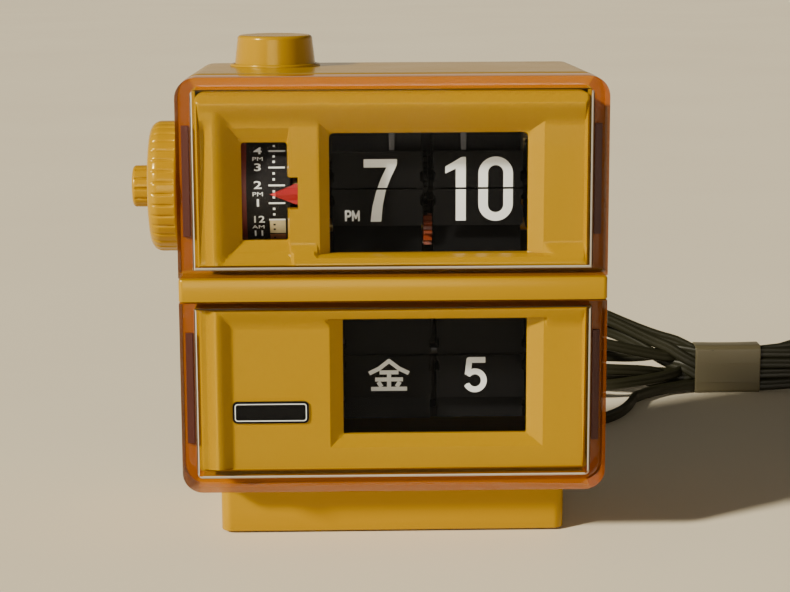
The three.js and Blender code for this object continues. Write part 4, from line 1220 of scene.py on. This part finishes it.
def make_leaves():
    for name, (number, following, hinge, reach) in DISPLAYS.items():
        x, y, _ = node_box(name + "_leaf_upper")
        for half, body in (("upper", name + "_flap_upper"), ("lower", "clock_body")):
            node = f"{name}_leaf_{half}"
            z = node_box(node)[2]
            card = inlay([leaf_outline(x, z, hinge)], [], *y)
            leaf = make(node + "_card", card, LEAF_BLACK, node, 40, body)
            heights = shrunk(z, 0.02)
            prints = []
            if crosses(number(), heights):
                prints.append((half, number(), y[0] - INK_DEPTH, y[0] + INK_DEPTH))
            if half == "upper":
                # Its back shows the lower half of the following number once it falls.
                after = mirrored(following(), hinge)
                prints.append(("back", after, y[1] - INK_DEPTH, y[1] + INK_DEPTH))
            for side, shown, front, back in prints:
                ink = inlay(*shown, front, back, heights)
                make(f"{name}_print_{side}", ink, INK, body=body, parent=leaf)
        make_pack(name, x, hinge, reach, following)


def make_pack(name, x, hinge, reach, following):
    """The leaves behind the two on show: one upright, the others fanned round the spool."""
    node = name + "_leaf_pack"
    _, (front, back), (low, high) = node_box(node)
    centre, inner = ((AXIS_Y, AXIS_Z), 10.6) if hinge > 100 else ((34, 58), 8.0)
    outer = min((high - low) / 2, back - centre[0]) - 0.1
    count, spread, half_thickness = 34, 118, 0.22
    solids = []
    for i in range(count):
        # Angle 0 points to the back, and the fan leaves the front open.
        angle = math.radians(spread - 2 * spread * i / (count - 1)) + random.uniform(-0.012, 0.012)
        ahead = Vector((math.cos(angle), math.sin(angle)))
        side = Vector((-ahead.y, ahead.x)) * half_thickness
        r0, r1 = inner, outer - random.uniform(0, 0.5)
        corners = [ahead * r0 - side, ahead * r1 - side, ahead * r1 + side, ahead * r0 + side]
        corners = [(c.x + centre[0], c.y + centre[1]) for c in corners]
        if min(y for y, _ in corners) < front + 1.1:
            continue
        jog = random.uniform(-0.12, 0.12)
        solids.append(loft([[(px, *corner) for corner in corners]
                            for px in (x[0] + 0.3 + jog, x[1] - 0.3 + jog)]))
    pack = make(node + "_fan", join(*solids), LEAF_BLACK, node, 30)
    z = (hinge + 0.4, hinge + reach - 0.1)
    outline = leaf_outline(shrunk(x, 0.1), z, hinge)
    make(node + "_next", inlay([outline], [], front + 0.1, front + 0.6), LEAF_BLACK, parent=pack)
    if crosses(following(), z):
        ink = inlay(*following(), front + 0.1 - INK_DEPTH, front + 0.15, z)
        make(f"{name}_next_print", ink, INK, parent=pack)


def make_clips():
    """Bent sheet fingers that hold back the leaves which wait at the top."""
    thickness, bend = 0.4, 1.6
    for node in ("leaf_clip_hours", "leaf_clip_minutes"):
        x, (y0, y1), (z0, z1) = node_box(node)
        side = [(y0 + 0.1, z0), (y0 + 0.1, z1 - 2.2)]
        side += [(y0 + 0.1 + bend * (1 - math.cos(a)), z1 - 2.2 + bend * math.sin(a))
                 for a in (TAU / 16, TAU / 8, TAU / 5.4)]
        side += [(y0 + 2.2, z1 - 0.5), (y1, z1 - 0.5)]
        rings = []
        for i, (y, z) in enumerate(side):
            before, after = Vector(side[max(0, i - 1)]), Vector(side[min(len(side) - 1, i + 1)])
            ahead = (after - before).normalized()
            out = Vector((-ahead.y, ahead.x)) * thickness
            left, right = shrunk(x, 0.25 if i == 0 else 0)
            rings.append([(left, y, z), (right, y, z), (right, y - out.x, z - out.y),
                          (left, y - out.x, z - out.y)])
        bevel(make(node + "_finger", loft(rings), SHADED_STEEL, node, 40), 0.08, 2)


# ---- The alarm's drum and pointer -----------------------------------------------------------
HOUR_PITCH = 15
TWO_O_CLOCK = 7.0  # degrees above the drum's foremost line


def drum_point(x, angle, rise):
    radius, angle = DRUM_RADIUS + rise, math.radians(angle)
    return (x, AXIS_Y - radius * math.cos(angle), AXIS_Z + radius * math.sin(angle))


def drum_patch(x, middle, half, rise=0.045, sink=0.3):
    """A closed patch of ink on the drum, half degrees either way from its middle."""
    steps = max(1, round(2 * half / 2.5))
    rings = []
    for i in range(steps + 1):
        angle = middle - half + 2 * half * i / steps
        rings.append([drum_point(x[0], angle, -sink), drum_point(x[1], angle, -sink),
                      drum_point(x[1], angle, rise), drum_point(x[0], angle, rise)])
    return loft(rings)


def drum_text(text, x, angle, size, wide, weight):
    """Numerals turned round the drum: letters of the built-in font as one mesh."""
    curve = bpy.data.curves.new(text, "FONT")
    curve.body = text
    curve.size = size
    curve.align_x, curve.align_y = "CENTER", "CENTER"
    curve.offset = weight * size
    curve.resolution_u = 3
    curve.extrude = 0.1
    obj = link(text, curve)
    mesh = bpy.data.meshes.new_from_object(obj.evaluated_get(bpy.context.evaluated_depsgraph_get()))
    verts = []
    for v in mesh.vertices:
        turn = math.degrees(v.co.y / DRUM_RADIUS)
        verts.append(drum_point(x + v.co.x * wide, angle + turn, -0.05 + v.co.z))
    faces = [list(p.vertices) for p in mesh.polygons]
    bpy.data.objects.remove(obj)
    bpy.data.meshes.remove(mesh)
    return verts, faces


def make_drum():
    x0, x1 = node_box("alarm_drum")[0]
    r = DRUM_RADIUS
    profile = [(4.4, x0 + 3), (7.2, x0 + 3), (7.3, x1 - 2), (r - 1.6, x1 - 2), (r - 1.5, x0 + 0.2)]
    profile += [(r - 1.2, x0), (r - 0.5, x0), (r, x0 + 0.4)]
    profile += [(r, x1 - 0.4), (r - 0.4, x1), (4.4, x1)]
    solid = lathe(profile, AXIS, "X", 144, cyclic=True)
    drum = make("alarm_hour_drum", solid, DRUM_BLACK, "alarm_drum", 35, "alarm_setting")
    white, beige, brown, dark = [], [], [], []
    tick_x, dot_x, number_x = (-37.7, -32.7), (-36.45, -35.75), -41.0
    for hour in range(24):
        angle = TWO_O_CLOCK + HOUR_PITCH * (hour - 14)
        label = str(hour % 12 or 12)
        wide = 1.6 if len(label) == 1 else 1.25
        white.append(drum_text(label, number_x, angle, 3.3, wide, 0.012))
        if hour % 2 == 0:
            half_day = "AM" if hour <= 12 else "PM"
            white.append(drum_text(half_day, number_x, angle - HOUR_PITCH / 2, 1.8, 1.5, 0.0))
        thirds = [angle + HOUR_PITCH * third / 3 for third in (1, 2)]
        if hour >= 12:
            white.append(drum_patch(tick_x, angle, 0.65))
            white += [drum_patch(dot_x, middle, 0.95) for middle in thirds]
        else:
            middle, half = angle + HOUR_PITCH / 2, HOUR_PITCH / 2 - 0.8
            patch = drum_patch((tick_x[0] + 0.2, tick_x[1]), middle, half)
            (beige if hour % 2 else brown).append(patch)
            dark += [drum_patch(dot_x, middle, 0.9, 0.06) for middle in thirds]

    def on_drum(name, solid, material, crease):
        make(name, solid, material, crease=crease, body="alarm_setting",
             parent=drum)

    for name, parts, material in (("white", white, INK), ("beige", beige, BEIGE_INK),
                                  ("brown", brown, BROWN_INK), ("dark", dark, DRUM_BLACK)):
        on_drum("drum_print_" + name, join(*parts), material, 30)
    # The band at the drum's left edge is painted shade and reflection of the bezel's window wall.
    flank = [(r - 1.3, x0), (r + 0.03, x0 + 0.3), (r + 0.04, x0 + 2.0), (r - 0.4, x0 + 2.0)]
    on_drum("drum_flank_painted_shade", lathe(flank, AXIS, "X", 144, cyclic=True), DRUM_EDGE_PAINTED_SHADE, 35)


def make_pointer():
    y0, y1 = node_box("alarm_pointer")[1]
    tip_z, base_x = 111.6, -24.4
    outline = [(-37.3, tip_z), (-29.6, 108.5), (base_x, 108.5), (base_x, 114.8), (-29.6, 114.8)]
    verts = [(x, y0 + (0.1 if z == tip_z else 1.1), z) for x, z in outline]
    verts += [(x, y1, z) for x, z in outline] + [(base_x, y0 + 0.1, tip_z)]
    faces = [(0, 1, 2, 10), (0, 10, 3, 4), (9, 8, 7, 6, 5), (2, 7, 8, 3, 10), (0, 5, 6, 1),
             (1, 6, 7, 2), (3, 8, 9, 4), (4, 9, 5, 0)]
    pointer = make("alarm_pointer_blade", (verts, faces), RED, "alarm_pointer", 20)
    tip = [(-37.1, tip_z), (-35.5, 110.98), (-35.5, 112.22)]
    make("alarm_pointer_tip", inlay([tip], [], y0 - 0.04, y0 + 0.3), PALE_RED, parent=pointer)


def make_plaque():
    x, _, z = node_box("front_plaque")
    seat = 5.85

    def outline(inset, radius, arc=6):
        return rounded(shrunk(x, inset), shrunk(z, inset), (radius, radius), arc)

    plate = inlay([outline(0, 1.5, 8)], [], seat - 0.55, seat + 0.3)
    plaque = make("front_plaque_plate", plate, LEAF_BLACK, "front_plaque", 40)
    bevel(plaque, 0.15)
    line = inlay([outline(0.7, 0.9)], [outline(0.95, 0.7)], seat - 0.6, seat - 0.4)
    make("front_plaque_line", line, INK, parent=plaque)


# ---- What stays as it is in the CAD model ---------------------------------------------------
def dress_nodes():
    """Every CAD node gets a material; the inner ones are shown as they are."""
    by_slot = {
        "yellow_plastic": YELLOW, "black_plastic": BLACK, "clear_acrylic": CLEAR,
        "red_plastic": RED,
        "amber_plastic": AMBER, "leaf_plastic": LEAF_BLACK, "rubber": RUBBER, "cord_pvc": CORD,
        "tie_film": TIE_FILM, "steel": SHADED_STEEL, "brass": BRASS,
    }
    for name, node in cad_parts.items():
        material = by_slot.get(node_slot(name), BLACK)
        node.data.materials.clear()
        node.data.materials.append(material)


def node_slot(name):
    if name == "carry_pinion":
        return "amber_plastic"
    if any(word in name for word in ("spool", "leaf_", "_leaf")) and "clip" not in name:
        return "leaf_plastic"
    if any(word in name for word in ("plate", "shaft", "clip", "screw", "motor", "frame", "lever")):
        if name == "motor_pinion" or "pillar" in name:
            return "brass"
        return "steel"
    if any(word in name for word in ("gear", "pinion", "sleeve")):
        return "brass"
    if "cover" in name:
        return "black_plastic" if name == "rear_cover" else "clear_acrylic"
    if name == "strain_relief" or "pad" in name:
        return "rubber"
    if name == "alarm_pointer":
        return "red_plastic"
    if name == "cord_tie":
        return "tie_film"
    if "cord" in name:
        return "cord_pvc"
    if any(word in name for word in ("plaque", "switch", "buzzer", "drum", "plug", "advance")):
        return "black_plastic"
    return "yellow_plastic"


# ---- Floor and light ------------------------------------------------------------------------
FLOOR_REACH = 6.0  # metres
SUNLIGHT, SKYLIGHT = (1.0, 0.93, 0.76), (1.0, 0.93, 0.80)


def make_stage():
    reach = FLOOR_REACH
    mesh = bpy.data.meshes.new("floor")
    corners = [(-reach, -reach, 0), (reach, -reach, 0), (reach, reach, 0), (-reach, reach, 0)]
    mesh.from_pydata(corners, [], [(0, 1, 2, 3)])
    floor = link("floor", mesh)
    material, tree, shader = new_material("floor", (0.76, 0.69, 0.56), 0.6)
    tones = [(0.3, (0.74, 0.665, 0.515)), (0.7, (0.78, 0.705, 0.545))]
    tree.links.new(ramp(tree, noise_node(tree, 3.0, 4), tones), shader.inputs["Base Color"])
    bump(tree, shader, noise_node(tree, 400, 3), 0.3, 0.05)
    mesh.materials.append(material)

    world = bpy.data.worlds.new("studio")
    bpy.context.scene.world = world
    world.use_nodes = True
    tree = world.node_tree
    background = tree.nodes["Background"]
    place = tree.nodes.new("ShaderNodeTexCoord")
    parts = tree.nodes.new("ShaderNodeSeparateXYZ")
    tree.links.new(place.outputs["Generated"], parts.inputs[0])
    glow = [(0.0, (0.70, 0.60, 0.44)), (0.16, (0.60, 0.51, 0.37)), (0.34, (0.085, 0.08, 0.07))]
    tree.links.new(ramp(tree, parts.outputs["Z"], glow), background.inputs["Color"])
    background.inputs["Strength"].default_value = 1.0

    for name, toward, energy, color, width in (
        ("key", (0.839 * 0.877, 0.545 * 0.877, -0.48), 7.3, SUNLIGHT, 6),
        ("fill", (0.1, 0.99, -0.03), 1.0, SKYLIGHT, 30),
    ):
        data = bpy.data.lights.new(name, "SUN")
        data.energy = energy
        data.color = color
        data.angle = math.radians(width)
        link(name, data).rotation_euler = Vector(toward).to_track_quat("-Z", "Y").to_euler()


make_case()
make_bezels()
make_covers()
make_band()
make_foot()
make_rear()
make_button()
make_wheel()
make_leaves()
make_clips()
make_drum()
make_pointer()
make_plaque()
dress_nodes()
make_stage()
